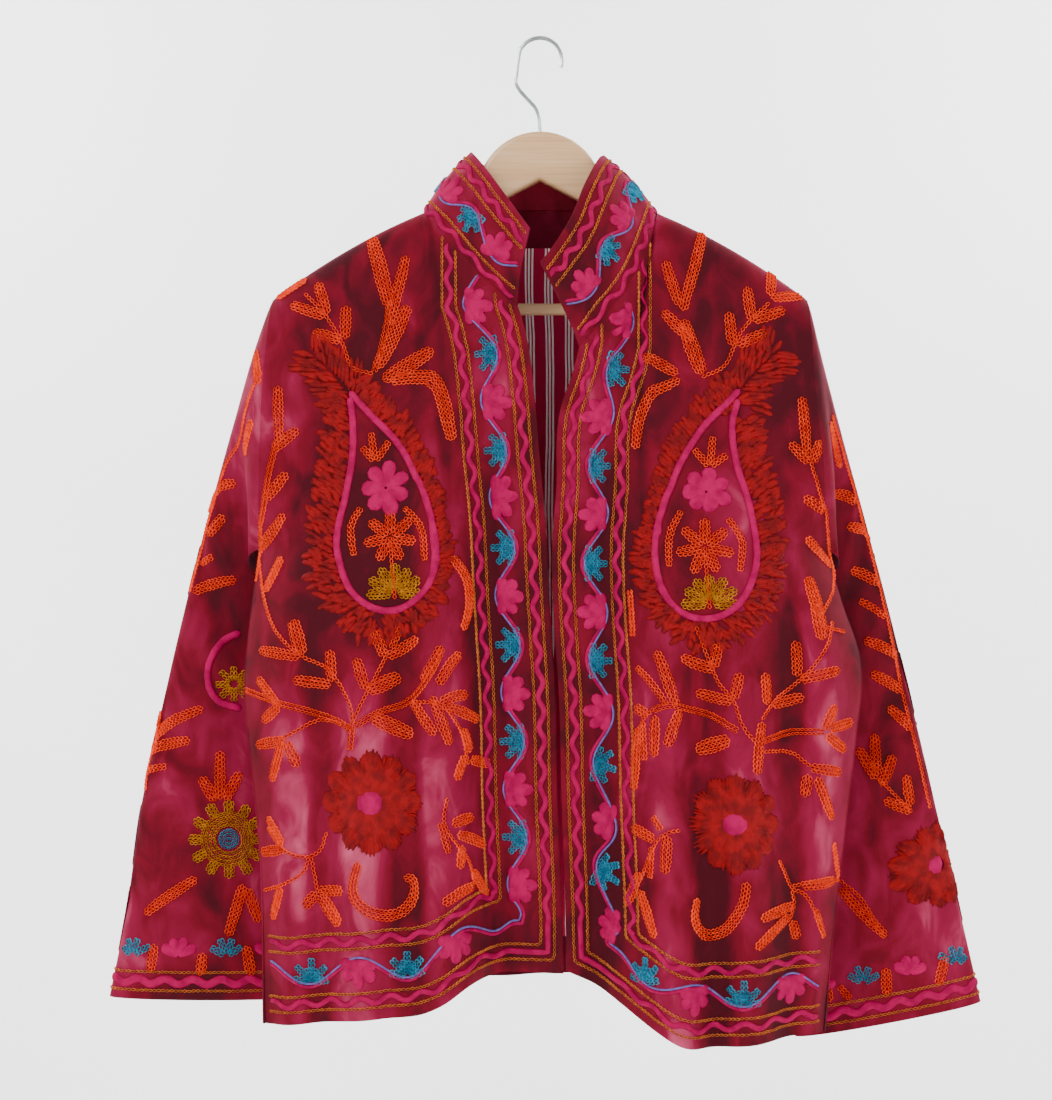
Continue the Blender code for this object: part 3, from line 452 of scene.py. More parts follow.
def creased(points: Array, creases: tuple, face: int) -> Array:
    """Adds the small creases, each highest near its first third and running out at both ends."""
    x = points[..., 0]
    z = points[..., 2]
    for crease in creases:
        run = np.array([crease.x1 - crease.x0, crease.z1 - crease.z0])
        length = np.hypot(*run)
        run = run / length
        at = (x - crease.x0) * run[0] + (z - crease.z0) * run[1]
        off = (x - crease.x0) * run[1] - (z - crease.z0) * run[0]
        off = off + CREASE_WANDER * at * np.sin(at / CREASE_WAVE)
        share = np.clip(at / length, 0, 1)
        shape = np.sin(np.pi * share**CREASE_RISE_POWER) ** CREASE_END_POWER
        points[..., 1] += face * crease.height * shape * np.exp(-((off / crease.half_width) ** 2))
    return points


def fullness(across: Array, down: Array, depths: tuple) -> Array:
    """Depth that a body panel gains between its edges."""
    return smooth(down, FULLNESS_DOWN, depths) * np.sin(np.pi * np.clip(across, 0, 1)) ** FULLNESS_POWER


def draw_in(down: Array, distance: Array) -> Array:
    """How far a body panel draws in toward its side edge, by its distance from it."""
    return (side_out(down) - smooth(down, INSIDE_DOWN, INSIDE_OUT)) * np.exp(-distance)


def front_point(across: Array, down: Array, side: int) -> Array:
    """Outer surface of a front, from its centre edge (0) to its side (1) and from top to hem."""

    def top(share: Array) -> Array:
        neck = along(FRONT_NECK[side], np.clip(share / NECK_SHARE, 0, 1))
        shoulder = shoulder_point(np.clip((share - NECK_SHARE) / (1 - NECK_SHARE), 0, 1), side)
        return np.where((share <= NECK_SHARE)[..., None], neck, shoulder)

    across, down = np.broadcast_arrays(np.asarray(across, float), np.asarray(down, float))
    points = coons(
        across,
        down,
        lambda share: pushed_out(top(share), -1),
        lambda share: along(FRONT_HEM[side], share),
        lambda share: centre_curve(share, side),
        lambda share: side_field(share, side, -1),
    )
    points[..., 1] -= fullness(across, down, FRONT_FULLNESS) + draw_in(down, (1 - across) / FRONT_DRAW_IN)
    held = step(down / HELD_DOWN) * step((1 - across) / HELD_FRONT)
    hanging = hung(top(across), folded(points, FRONT_FOLDS[side], -1, held))
    return creased(hanging, FRONT_CREASES[side], -1)


def back_share(side: int) -> float:
    """Share of the back's top edge at which the neckline meets a shoulder."""
    return (SHOULDER_HALF_WIDTH + side * NECK_HALF_WIDTH) / (2 * SHOULDER_HALF_WIDTH)


def back_point(across: Array, down: Array) -> Array:
    """Outer surface of the back, from the left side (0) to the right side (1) and from top to hem."""
    low = back_share(-1)
    high = back_share(1)

    def top(share: Array) -> Array:
        left = shoulder_point(np.clip(1 - share / low, 0, 1), -1)
        neck = along(BACK_NECK, np.clip((share - low) / (high - low), 0, 1))
        right = shoulder_point(np.clip((share - high) / (1 - high), 0, 1), 1)
        inner = np.where((share <= low)[..., None], left, neck)
        return np.where((share >= high)[..., None], right, inner)

    across, down = np.broadcast_arrays(np.asarray(across, float), np.asarray(down, float))
    points = coons(
        across,
        down,
        lambda share: pushed_out(top(share), 1),
        lambda share: along(BACK_HEM, share),
        lambda share: side_field(share, -1, 1),
        lambda share: side_field(share, 1, 1),
    )
    from_side = np.minimum(across, 1 - across) / BACK_DRAW_IN
    points[..., 1] += fullness(across, down, BACK_FULLNESS) + draw_in(down, from_side)
    held = step(down / HELD_DOWN) * step(across / HELD_BACK) * step((1 - across) / HELD_BACK)
    return creased(hung(top(across), folded(points, BACK_FOLDS, 1, held)), BACK_CREASES, 1)


def sleeve_point(around: Array, down: Array, side: int) -> Array:
    """Outer surface of a sleeve: around runs from the outer line (0) by the front (0.25), the underarm
    (0.5) and the back (0.75), and down from the armhole to the cuff."""
    around, down = np.broadcast_arrays(np.asarray(around, float), np.asarray(down, float))
    around = np.mod(around, 1.0)
    front = around <= 0.5
    share = np.where(front, around * 2, (1 - around) * 2)
    face = np.where(front, -1.0, 1.0)
    rows = np.array(ARMHOLE_ROWS) / SIDE_HEIGHT
    on_side = np.interp(share, np.linspace(0, 1, len(rows)), rows)
    start = np.where(front[..., None], side_curve(on_side, side, -1), side_curve(on_side, side, 1))
    outer_x, outer_z, inner_x, inner_z, centre_y, half_depth = CUFF[side]
    angle = np.pi * on_side / rows[-1]
    reach = (1 - np.cos(angle)) / 2
    end = np.stack(
        [
            outer_x + (inner_x - outer_x) * reach,
            centre_y + face * half_depth * np.sin(angle) ** CUFF_ROUNDNESS,
            outer_z + (inner_z - outer_z) * reach,
        ],
        axis=-1,
    )
    power = SETBACK_POWER[0] + (SETBACK_POWER[1] - SETBACK_POWER[0]) * np.sqrt(reach)
    fall = down ** (1 + (FALL_POWER_INNER - 1) * reach)
    points = start + (end - start) * np.stack([down, 1 - (1 - down) ** power, fall], axis=-1)
    points[..., 0] += side * smooth(down, SLEEVE_DOWN, SLEEVE_BOW[side]) * (1 - reach)
    near = down / SLEEVE_CLEARANCE_AT
    points[..., 0] += side * SLEEVE_CLEARANCE * np.sqrt(reach) * near * np.exp(1 - near)
    for twist in SLEEVE_TWISTS[side]:
        turn = np.abs(around - twist.around)
        turn = np.minimum(turn, 1 - turn)
        shape = np.exp(-(((down - twist.along - TWIST_SLANT * turn) / twist.length) ** 2))
        points[..., 1] += face * twist.depth * shape * np.exp(-((turn / twist.spread) ** 2))
    return points


def collar_point(stretch: str, at: Array, up: Array) -> Array:
    """Outer surface of the collar over one stretch of the neckline, from its seam (0) to its top (1)."""
    at, up = np.broadcast_arrays(np.asarray(at, float), np.asarray(up, float))
    low = along({"left": FRONT_NECK[-1], "back": BACK_NECK, "right": FRONT_NECK[1]}[stretch], at)
    points = low + (along(COLLAR_TOP[stretch], at) - low) * up[..., None]
    out = points * np.array([1.0, 1.0, 0.0]) - np.array(COLLAR_CENTRE)
    out /= np.linalg.norm(out, axis=-1, keepdims=True)
    return points + out * (COLLAR_BOW * np.sin(np.pi * up))[..., None]


def unit(vectors: Array) -> Array:
    """Vectors of length 1."""
    return vectors / np.maximum(np.linalg.norm(vectors, axis=-1, keepdims=True), 1e-9)


def distances(points: Array) -> Array:
    """Distance of each point from the first, along the line that they make."""
    return np.concatenate([[0], np.cumsum(np.linalg.norm(np.diff(points, axis=0), axis=-1))])


def in_photo(x: Array, y: Array, z: Array) -> Array:
    """Pixels of the photograph at which its viewer sees points in space."""
    scale = -EYE[1] / (y - EYE[1])
    across = PHOTO_ORIGIN[0] + (EYE[0] + (x - EYE[0]) * scale) / PHOTO_SCALE
    down = PHOTO_ORIGIN[1] - (EYE[2] + (z - EYE[2]) * scale) / PHOTO_SCALE
    return np.stack([across, down], -1)


def spread(knots: Array, lengths: Array, spacing: float) -> Array:
    """Adds even places between knots until none is further apart than the spacing.

    Args:
        knots: Shares at which there must be a place.
        lengths: Real length in mm from each knot to the next.
        spacing: Widest distance in mm.

    Returns:
        All the shares, in order.
    """
    places = [knots[:1]]
    for first, second, length in zip(knots, knots[1:], lengths):
        count = max(1, math.ceil(length / spacing))
        places.append(np.linspace(first, second, count + 1)[1:])
    return np.concatenate(places)


# Places keep this many rows and columns from an edge, and a search may go this far from its start
EDGE_KEPT = 0.6
SEARCH_REACH = 1.5
SEARCH_ROUNDS = 3

# Shortest row or column in mm that a move is reckoned with, and the least slope that still faces the viewer
SHORTEST_CELL = 2.2
LEAST_FACING = 0.18


class Cloth:
    """Fine grid of one cloth piece. Its outer points carry the embroidery, found by row and column."""

    def __init__(self, grid: Array, inside: Optional[tuple] = None) -> None:
        """Keeps the grid and works out its outward normals and its places in the photograph.

        Args:
            grid: Outer points, rows down and columns across.
            inside: Point that the cloth's inner side looks at; none if its columns close to a ring.
        """
        self.grid = grid
        self.ring = ring = inside is None
        wide = np.concatenate([grid[:, -1:], grid, grid[:, :1]], axis=1) if ring else grid
        over = np.gradient(wide, axis=1)
        over = over[:, 1:-1] if ring else over
        self.normals = unit(np.cross(over, np.gradient(grid, axis=0)))
        middle = grid.mean(axis=1, keepdims=True) if ring else np.array(inside)
        self.turned = float(np.sum(self.normals * (grid - middle))) < 0
        if self.turned:
            self.normals = -self.normals
        self.seen = in_photo(grid[..., 0], grid[..., 1], grid[..., 2])

    def read(self, values: Array, places: Array) -> Array:
        """Values at row and column places, straight between the grid's points."""
        rows, columns = self.grid.shape[:2]
        r = np.clip(places[..., 0], 0, rows - 1.0001)
        c = np.mod(places[..., 1], columns) if self.ring else np.clip(places[..., 1], 0, columns - 1.0001)
        i = np.floor(r).astype(int)
        j = np.floor(c).astype(int)
        k = (j + 1) % columns
        s = (r - i)[..., None]
        t = (c - j)[..., None]
        upper = values[i, j] * (1 - t) + values[i, k] * t
        return upper * (1 - s) + (values[i + 1, j] * (1 - t) + values[i + 1, k] * t) * s

    def slopes(self, values: Array, places: Array) -> tuple:
        """Change of the values over one row and over one column, about each place."""
        down = self.read(values, places + [0.5, 0]) - self.read(values, places - [0.5, 0])
        over = self.read(values, places + [0, 0.5]) - self.read(values, places - [0, 0.5])
        return down, over

    def kept(self, places: Array) -> Array:
        """Places held a little inside the cloth's edges."""
        rows, columns = self.grid.shape[:2]
        r = np.clip(places[..., 0], EDGE_KEPT, rows - 1 - EDGE_KEPT)
        c = places[..., 1] if self.ring else np.clip(places[..., 1], EDGE_KEPT, columns - 1 - EDGE_KEPT)
        return np.stack([r, c], -1)

    def moved(self, places: Array, offsets: Array) -> Array:
        """Places moved over the cloth by offsets in mm, given as vectors in space."""
        places = self.kept(places)
        down, over = self.slopes(self.grid, places)
        aa = np.sum(down * down, -1)
        bb = np.sum(over * over, -1)
        ab = np.sum(down * over, -1)
        a = np.sum(down * offsets, -1)
        b = np.sum(over * offsets, -1)
        under = np.maximum(aa * bb - ab * ab, 1e-6)
        change = np.stack([(a * bb - b * ab) / under, (b * aa - a * ab) / under], -1)
        reach = np.linalg.norm(offsets, axis=-1, keepdims=True) / SHORTEST_CELL
        return self.kept(places + np.clip(change, -reach, reach))

    def facing(self, away: bool) -> Array:
        """Which grid points look toward the photograph's viewer, or away from them."""
        return self.normals[..., 1] * (1 if away else -1) > LEAST_FACING

    def find(self, pixels: list, away: bool = False) -> Array:
        """Row and column places of pixels of the photograph.

        Args:
            pixels: The pixels, as x and y.
            away: Whether they are looked for on the side turned from the viewer.

        Returns:
            A place for each pixel, beyond a ring's last column where the line crosses its seam.
        """
        pixels = np.asarray(pixels, float).reshape(-1, 2)
        usable = np.argwhere(self.facing(away))
        seen = self.seen[usable[:, 0], usable[:, 1]]
        found = np.array([usable[np.argmin(np.sum((seen - pixel) ** 2, -1))] for pixel in pixels], float)
        start = found.copy()
        for _ in range(SEARCH_ROUNDS):
            gap = pixels - self.read(self.seen, found)
            down, over = self.slopes(self.seen, found)
            under = down[:, 0] * over[:, 1] - down[:, 1] * over[:, 0]
            under = np.where(np.abs(under) < 0.5, np.inf, under)
            r = (gap[:, 0] * over[:, 1] - gap[:, 1] * over[:, 0]) / under
            c = (down[:, 0] * gap[:, 1] - down[:, 1] * gap[:, 0]) / under
            found = start + np.clip(found + np.stack([r, c], -1) - start, -SEARCH_REACH, SEARCH_REACH)
        if self.ring:
            found[:, 1] = np.unwrap(found[:, 1], period=self.grid.shape[1])
        return found


class Beds:
    """Gathers all the embroidery of one piece, a mesh to each yarn, and makes the joined meshes."""

    def __init__(self) -> None:
        """Starts with no yarn laid."""
        self.parts: dict = {}

    def add(self, yarn: "Yarn", vertices: Array, faces: Array) -> None:
        """Adds many equal shapes.

        Args:
            yarn: The yarn that they are worked in.
            vertices: Points in mm, one row of points to each shape.
            faces: Corner indexes of one shape, four to a face.
        """
        self.parts.setdefault(yarn, []).append((vertices, faces))

    def make(self, name: str, finishes: dict) -> list:
        """Makes one object to each yarn.

        Args:
            name: Name of the cloth piece that carries them.
            finishes: Material of each yarn.

        Returns:
            The objects.
        """
        made = []
        for yarn, parts in self.parts.items():
            points = []
            corners = []
            total = 0
            for vertices, faces in parts:
                count, size = vertices.shape[:2]
                shifts = total + np.arange(count)[:, None, None] * size
                corners.append((faces[None] + shifts).reshape(-1, 4))
                points.append(vertices.reshape(-1, 3))
                total += count * size
            piece = joined_mesh(f"{name}_{yarn.value}", np.concatenate(points), np.concatenate(corners))
            piece.data.materials.append(finishes[yarn])
            made.append(piece)
        return made


def joined_mesh(name: str, points: Array, quads: Array, slots: Optional[Array] = None) -> bpy.types.Object:
    """Makes an object from points in mm and four-cornered faces.

    Args:
        name: Name of the object.
        points: Vertices in mm.
        quads: Corner indexes, four to a face.
        slots: Material index of each face.

    Returns:
        The object, smooth shaded, in the scene.
    """
    mesh = bpy.data.meshes.new(name)
    mesh.vertices.add(len(points))
    mesh.vertices.foreach_set("co", (points * MM).astype(np.float32).ravel())
    mesh.loops.add(quads.size)
    mesh.loops.foreach_set("vertex_index", quads.astype(np.int32).ravel())
    mesh.polygons.add(len(quads))
    mesh.polygons.foreach_set("loop_start", np.arange(0, quads.size, 4, dtype=np.int32))
    if slots is not None:
        mesh.polygons.foreach_set("material_index", slots.astype(np.int32))
    mesh.update(calc_edges=True)
    mesh.validate()
    mesh.shade_smooth()
    piece = bpy.data.objects.new(name, mesh)
    bpy.context.collection.objects.link(piece)
    return piece


class Yarn(Enum):
    """Yarns of the embroidery."""

    ORANGE = "orange_wool"
    PINK = "pink_felt"
    TEAL = "teal_wool"
    OCHRE = "ochre_wool"
    RED = "red_tufts"
    WAVE = "magenta_felt"
    LINE = "border_chain"
    GREY = "vine_thread"


# One link of chain stitch: a flat loop, as (along, across) of its pitch and width. Its yarn has three
# rings, as (share of the way inward, lift): outer foot, crown and inner foot.
LOOP = ((-0.14, 0.0), (0.42, 0.46), (1.08, 0.27), (1.08, -0.27), (0.42, -0.46))
LOOP_MIDDLE = 0.5
LOOP_HALF_WIDTH = 0.46
LOOP_THREAD = 0.3
LOOP_RINGS = ((0.0, -0.2), (0.5, 1.0), (0.95, -0.2))
LOOP_HEAD = 0.8
LOOP_HEAD_LIFT = 1.25
ALONG_TO_ACROSS = 0.7

# Raised cross-sections, as (across, height) of half the width and the height
DOME = ((-1.0, -0.12), (-0.78, 0.62), (-0.3, 0.96), (0.3, 0.96), (0.78, 0.62), (1.0, -0.12))
TUFT = ((-1.0, -0.1), (0.0, 1.0), (1.0, -0.1))

# Shares of a straight line at which it has stations, and the shape of what is laid on it at each
STROKE_AT = (0.0, 0.14, 0.42, 0.72, 0.92, 1.0)
LOBE_WIDTHS = np.array([0.3, 0.6, 0.88, 1.0, 0.7, 0.03])
LOBE_HEIGHTS = np.array([0.6, 0.9, 1.0, 0.95, 0.6, 0.05])
TUFT_WIDTHS = np.array([0.1, 0.7, 1.0, 0.9, 0.55, 0.02])
TUFT_HEIGHTS = np.array([0.4, 0.9, 1.0, 0.8, 0.5, 0.05])
DISC_WIDTHS = np.array([0.02, 0.69, 0.98, 0.9, 0.54, 0.02])
DISC_HEIGHTS = np.array([0.1, 0.9, 1.0, 1.0, 0.9, 0.1])

# Leaves filled with chain stitch: distance of the rows, width for each row, and how they close at the ends
LEAF_ROW = 3.3
LEAF_WIDTH_TO_ROW = 3.5
LEAF_STEP = 1.6
LEAF_OPEN_POWER = 0.45


def link() -> list:
    """Corners of one link of chain stitch, as (along, across, lift) of its pitch, width and height."""
    corners = []
    for x, y in LOOP:
        for inward, lift in LOOP_RINGS:
            scale = 1 - inward * LOOP_THREAD / LOOP_HALF_WIDTH
            along_scale = 1 - (1 - scale) * ALONG_TO_ACROSS
            raised = lift * (LOOP_HEAD_LIFT if x > LOOP_HEAD else 1.0)
            corners.append((LOOP_MIDDLE + (x - LOOP_MIDDLE) * along_scale, y * scale, raised))
    return corners


LINK = link()


def ring_faces(stations: int, corners: int, closed: bool) -> Array:
    """Faces of a tube with a number of stations along it and corners round it."""
    faces = []
    for i in range(stations if closed else stations - 1):
        j = (i + 1) % stations
        for k in range(corners):
            m = (k + 1) % corners
            faces.append((i * corners + k, i * corners + m, j * corners + m, j * corners + k))
    return np.array(faces)


class Needle:
    """Works stitches, cords and tufts on one cloth piece."""

    def __init__(self, cloth: Cloth, beds: Beds, seed: int, away: bool = False) -> None:
        """Takes up one piece of cloth.

        Args:
            cloth: The cloth.
            beds: Where the finished stitches are gathered.
            seed: Start of the small unevenness of handwork.
            away: Whether places are read on the side turned from the viewer.
        """
        self.cloth = cloth
        self.beds = beds
        self.chance = np.random.default_rng(seed)
        self.away = away

    def at(self, pixels: list) -> Array:
        """Places on the cloth of a list of pixels."""
        return self.cloth.find(pixels, self.away)

    def curve(self, places: Array, spacing: float = 1.2) -> Array:
        """Smooth line of places through a few, resampled evenly in mm."""
        places = np.asarray(places, float)
        knots = np.arange(len(places))
        fine = np.linspace(0, len(places) - 1, 14 * len(places))
        line = np.stack([smooth(fine, knots, places[:, axis]) for axis in (0, 1)], -1)
        return self.even(line, spacing)

    def even(self, line: Array, spacing: float) -> Array:
        """Line of places resampled to even steps in mm."""
        run = distances(self.cloth.read(self.cloth.grid, line))
        count = max(2, int(round(run[-1] / spacing)) + 1)
        even = np.linspace(0, run[-1], count)
        return np.stack([np.interp(even, run, line[:, axis]) for axis in (0, 1)], -1)

    def length(self, line: Array) -> float:
        """Length in mm of a line of places."""
        return float(distances(self.cloth.read(self.cloth.grid, line))[-1])

    def frame(self, line: Array) -> tuple:
        """Points, directions along, directions across and normals of a line of places."""
        points = self.cloth.read(self.cloth.grid, line)
        normals = unit(self.cloth.read(self.cloth.normals, line))
        ahead = unit(np.gradient(points, axis=-2))
        across = unit(np.cross(normals, ahead))
        return points, ahead, across, normals

    def beside(self, line: Array, offset: Array) -> Array:
        """Line of places moved sideways by an offset in mm, to the left of its direction."""
        _, _, across, _ = self.frame(line)
        return self.cloth.moved(line, across * np.broadcast_to(offset, line.shape[:-1])[..., None])

    def chain(
        self, line: Array, yarn: Yarn, pitch: float = 3.8, width: float = 4.1, height: float = 1.4
    ) -> None:
        """Row of chain stitch along a line of places.

        Args:
            line: Places, close together.
            yarn: The yarn.
            pitch: Length of a stitch in mm.
            width: Width of a stitch in mm.
            height: How far the yarn stands up in mm.
        """
        points, _, _, normals = self.frame(self.even(line, pitch))
        start = points[:-1]
        ahead = points[1:] - start
        normal = unit(normals[:-1] + normals[1:])
        across = unit(np.cross(normal, ahead))
        uneven = 1 + 0.16 * (self.chance.random((len(start), 1)) - 0.5)
        aside = 0.5 * (self.chance.random((len(start), 1)) - 0.5)
        corners = [
            start + ahead * x + across * (y * width * uneven + aside) + normal * lift * height
            for x, y, lift in LINK
        ]
        self.beds.add(yarn, np.stack(corners, axis=1), ring_faces(len(LOOP), len(LOOP_RINGS), True))

    def sweep(self, lines: Array, half_widths: Array, heights: Array, yarn: Yarn, profile: tuple) -> None:
        """Raised shapes that follow lines of places: cords, felt lobes and tufts.

        Args:
            lines: Places, one row of stations to each shape.
            half_widths: Half the width in mm at every station.
            heights: Height in mm at every station.
            yarn: The yarn.
            profile: Cross-section.
        """
        _, _, across, _ = self.frame(lines)
        rows = []
        for offset, lift in profile:
            places = self.cloth.moved(lines, across * (offset * half_widths)[..., None])
            points = self.cloth.read(self.cloth.grid, places)
            normals = unit(self.cloth.read(self.cloth.normals, places))
            rows.append(points + normals * (lift * heights)[..., None])
        vertices = np.stack(rows, axis=2)
        count, stations, corners = vertices.shape[:3]
        flat = vertices.reshape(count, stations * corners, 3)
        self.beds.add(yarn, flat, ring_faces(stations, corners, False))

    def cord(self, line: Array, yarn: Yarn, width: float, height: float = 1.6, spacing: float = 3.0) -> None:
        """Soft cord laid along a line of places, tapered at its ends."""
        line = self.even(line, spacing)
        wide = np.full(len(line), width / 2)
        wide *= 1 + 0.1 * (self.chance.random(len(line)) - 0.5)
        wide[[0, -1]] = 0.02
        high = np.full(len(line), height)
        high[[0, -1]] = 0.1
        self.sweep(line[None], wide[None], high[None], yarn, DOME)

    def stroke(self, starts: Array, offsets: Array) -> Array:
        """Straight lines of places, closer toward the far end, from each start along an offset in mm."""
        return np.stack([self.cloth.moved(starts, offsets * share) for share in STROKE_AT], axis=-2)

    def lobes(self, starts: Array, offsets: Array, width: float, height: float, yarn: Yarn) -> None:
        """Felt lobes, rounded at the far end, from each start along an offset in mm."""
        lines = self.stroke(starts, offsets)
        uneven = 1 + 0.18 * (self.chance.random((len(lines), 1)) - 0.5)
        heights = LOBE_HEIGHTS * height * np.ones_like(uneven)
        self.sweep(lines, LOBE_WIDTHS * width / 2 * uneven, heights, yarn, DOME)

    def tufts(self, starts: Array, offsets: Array, width: float, height: float) -> None:
        """Feathery tufts of red pile from each start along an offset in mm."""
        lines = self.stroke(starts, offsets)
        uneven = 1 + 0.5 * (self.chance.random((len(lines), 1)) - 0.5)
        self.sweep(lines, TUFT_WIDTHS * width / 2 * uneven, TUFT_HEIGHTS * height * uneven, Yarn.RED, TUFT)

    def leaf(self, line: Array, width: float, yarn: Yarn = Yarn.ORANGE) -> None:
        """Leaf filled with chain stitch: rows side by side that close toward both ends.

        Args:
            line: Places along the middle of the leaf, from base to tip.
            width: Width in mm.
            yarn: The yarn.
        """
        line = self.even(line, LEAF_STEP)
        share = np.linspace(0, 1, len(line))
        rows = max(2, int(round(width / LEAF_WIDTH_TO_ROW)))
        open_out = np.sin(np.pi * (0.1 + 0.8 * share)) ** LEAF_OPEN_POWER
        for row in range(rows):
            from_middle = row - (rows - 1) / 2
            inner = abs(from_middle) < 0.6 and rows > 2
            part = slice(0, len(line)) if inner else slice(1, max(4, len(line) - 1))
            self.chain(self.beside(line, from_middle * LEAF_ROW * open_out)[part], yarn)

    def petals(
        self, centre: Array, radius: float, count: int, width: float, yarn: Yarn,
        turn: float = 0.0, fan: float = 360.0, hollow: float = 0.2,
    ) -> None:
        """Petals set round a centre, filled with chain stitch unless they are felt.

        Args:
            centre: Place of the centre.
            radius: Reach of the petals in mm.
            count: Number of petals.
            width: Width of a petal in mm.
            yarn: Yarn of the petals.
            turn: Direction of the first petal, or of the middle of a fan, in degrees from up, clockwise.
            fan: Angle that the petals span.
            hollow: Share of the radius left free at the centre.
        """
        if fan >= 360:
            angles = turn + np.arange(count) * 360.0 / count
        else:
            angles = turn + np.linspace(-fan / 2, fan / 2, count)
        ways = self.ways(centre, np.radians(angles))
        starts = self.cloth.moved(np.repeat(centre[None], count, 0), ways * radius * hollow)
        reach = radius * (1 - hollow) * (1 + 0.1 * (self.chance.random((count, 1)) - 0.5))
        if yarn is Yarn.PINK:
            self.lobes(starts, ways * reach, width, 1.9, yarn)
            return
        for start, way in zip(starts, ways * reach):
            self.leaf(self.stroke(start[None], way[None])[0], width, yarn)

    def ways(self, centre: Array, angles: Array) -> Array:
        """Directions on the cloth at a place, by their angles from up, clockwise."""
        up, right = self.compass(centre)
        return up * np.cos(angles)[:, None] + right * np.sin(angles)[:, None]

    def compass(self, place: Array) -> tuple:
        """Directions up and right on the cloth at a place, as the photograph's viewer sees them."""
        normal = unit(self.cloth.read(self.cloth.normals, place))
        right = np.array([1.0, 0.0, 0.0])
        right = unit(right - normal * np.dot(right, normal))
        up = unit(np.cross(normal, right))
        return (up, right) if up[2] > 0 else (-up, right)

    def disc(self, centre: Array, radius: float, yarn: Yarn, height: float = 2.4) -> None:
        """Round felt centre of a flower."""
        _, right = self.compass(centre)
        start = self.cloth.moved(centre[None], -right[None] * radius)
        lines = self.stroke(start, right[None] * radius * 2)
        self.sweep(lines, radius * DISC_WIDTHS[None], height * DISC_HEIGHTS[None], yarn, DOME)


class Leaf(NamedTuple):
    """Leaf from its base to its tip in pixels of the photograph, and its width in mm."""

    x0: float
    y0: float
    x1: float
    y1: float
    width: float


class Sprig(NamedTuple):
    """Stem through pixels of the photograph, and its width in mm: a leaf's, or one row of chain."""

    width: float
    line: tuple


@dataclass(frozen=True)
class Paisley:
    """Drop outlined in pink felt, with its flowers, in a band of red tufts."""

    outline: tuple
    sprig: tuple
    felt_flower: tuple
    wool_flower: tuple
    half_flower: tuple
    arms: tuple
    plume: tuple


@dataclass(frozen=True)
class Chart:
    """Everything charted on one piece, in pixels of the photograph."""

    leaves: tuple = ()
    sprigs: tuple = ()
    paisley: Optional[Paisley] = None
    rosettes: tuple = ()
    daisies: tuple = ()


LEFT_PAISLEY = Paisley(
    outline=(
        (349, 391), (368, 412), (396, 441), (418, 480), (432, 520), (436, 555), (430, 582), (414, 601),
        (390, 611), (367, 605), (349, 588), (339, 560), (337, 535), (345, 498), (352, 460), (353, 425),
        (350, 396),
    ),
    sprig=((375, 462), (371, 431), (361, 446), (390, 440)),
    felt_flower=(386, 488, 24),
    wool_flower=(390, 537, 26),
    half_flower=(395, 599, 28),
    arms=(((403, 506), (421, 528), (425, 562)), ((362, 506), (351, 527), (354, 557))),
    plume=(312, 352),
)
RIGHT_PAISLEY = Paisley(
    outline=(
        (740, 389), (724, 406), (700, 431), (677, 470), (662, 510), (655, 550), (661, 586), (678, 610),
        (705, 619), (731, 611), (750, 586), (757, 552), (750, 508), (737, 465), (732, 427), (738, 398),
    ),
    sprig=((710, 467), (713, 435), (693, 448), (728, 454)),
    felt_flower=(706, 492, 25),
    wool_flower=(705, 547, 28),
    half_flower=(710, 609, 28),
    arms=(((682, 509), (670, 534), (669, 568)), ((727, 517), (742, 541), (740, 573))),
    plume=(776, 352),
)
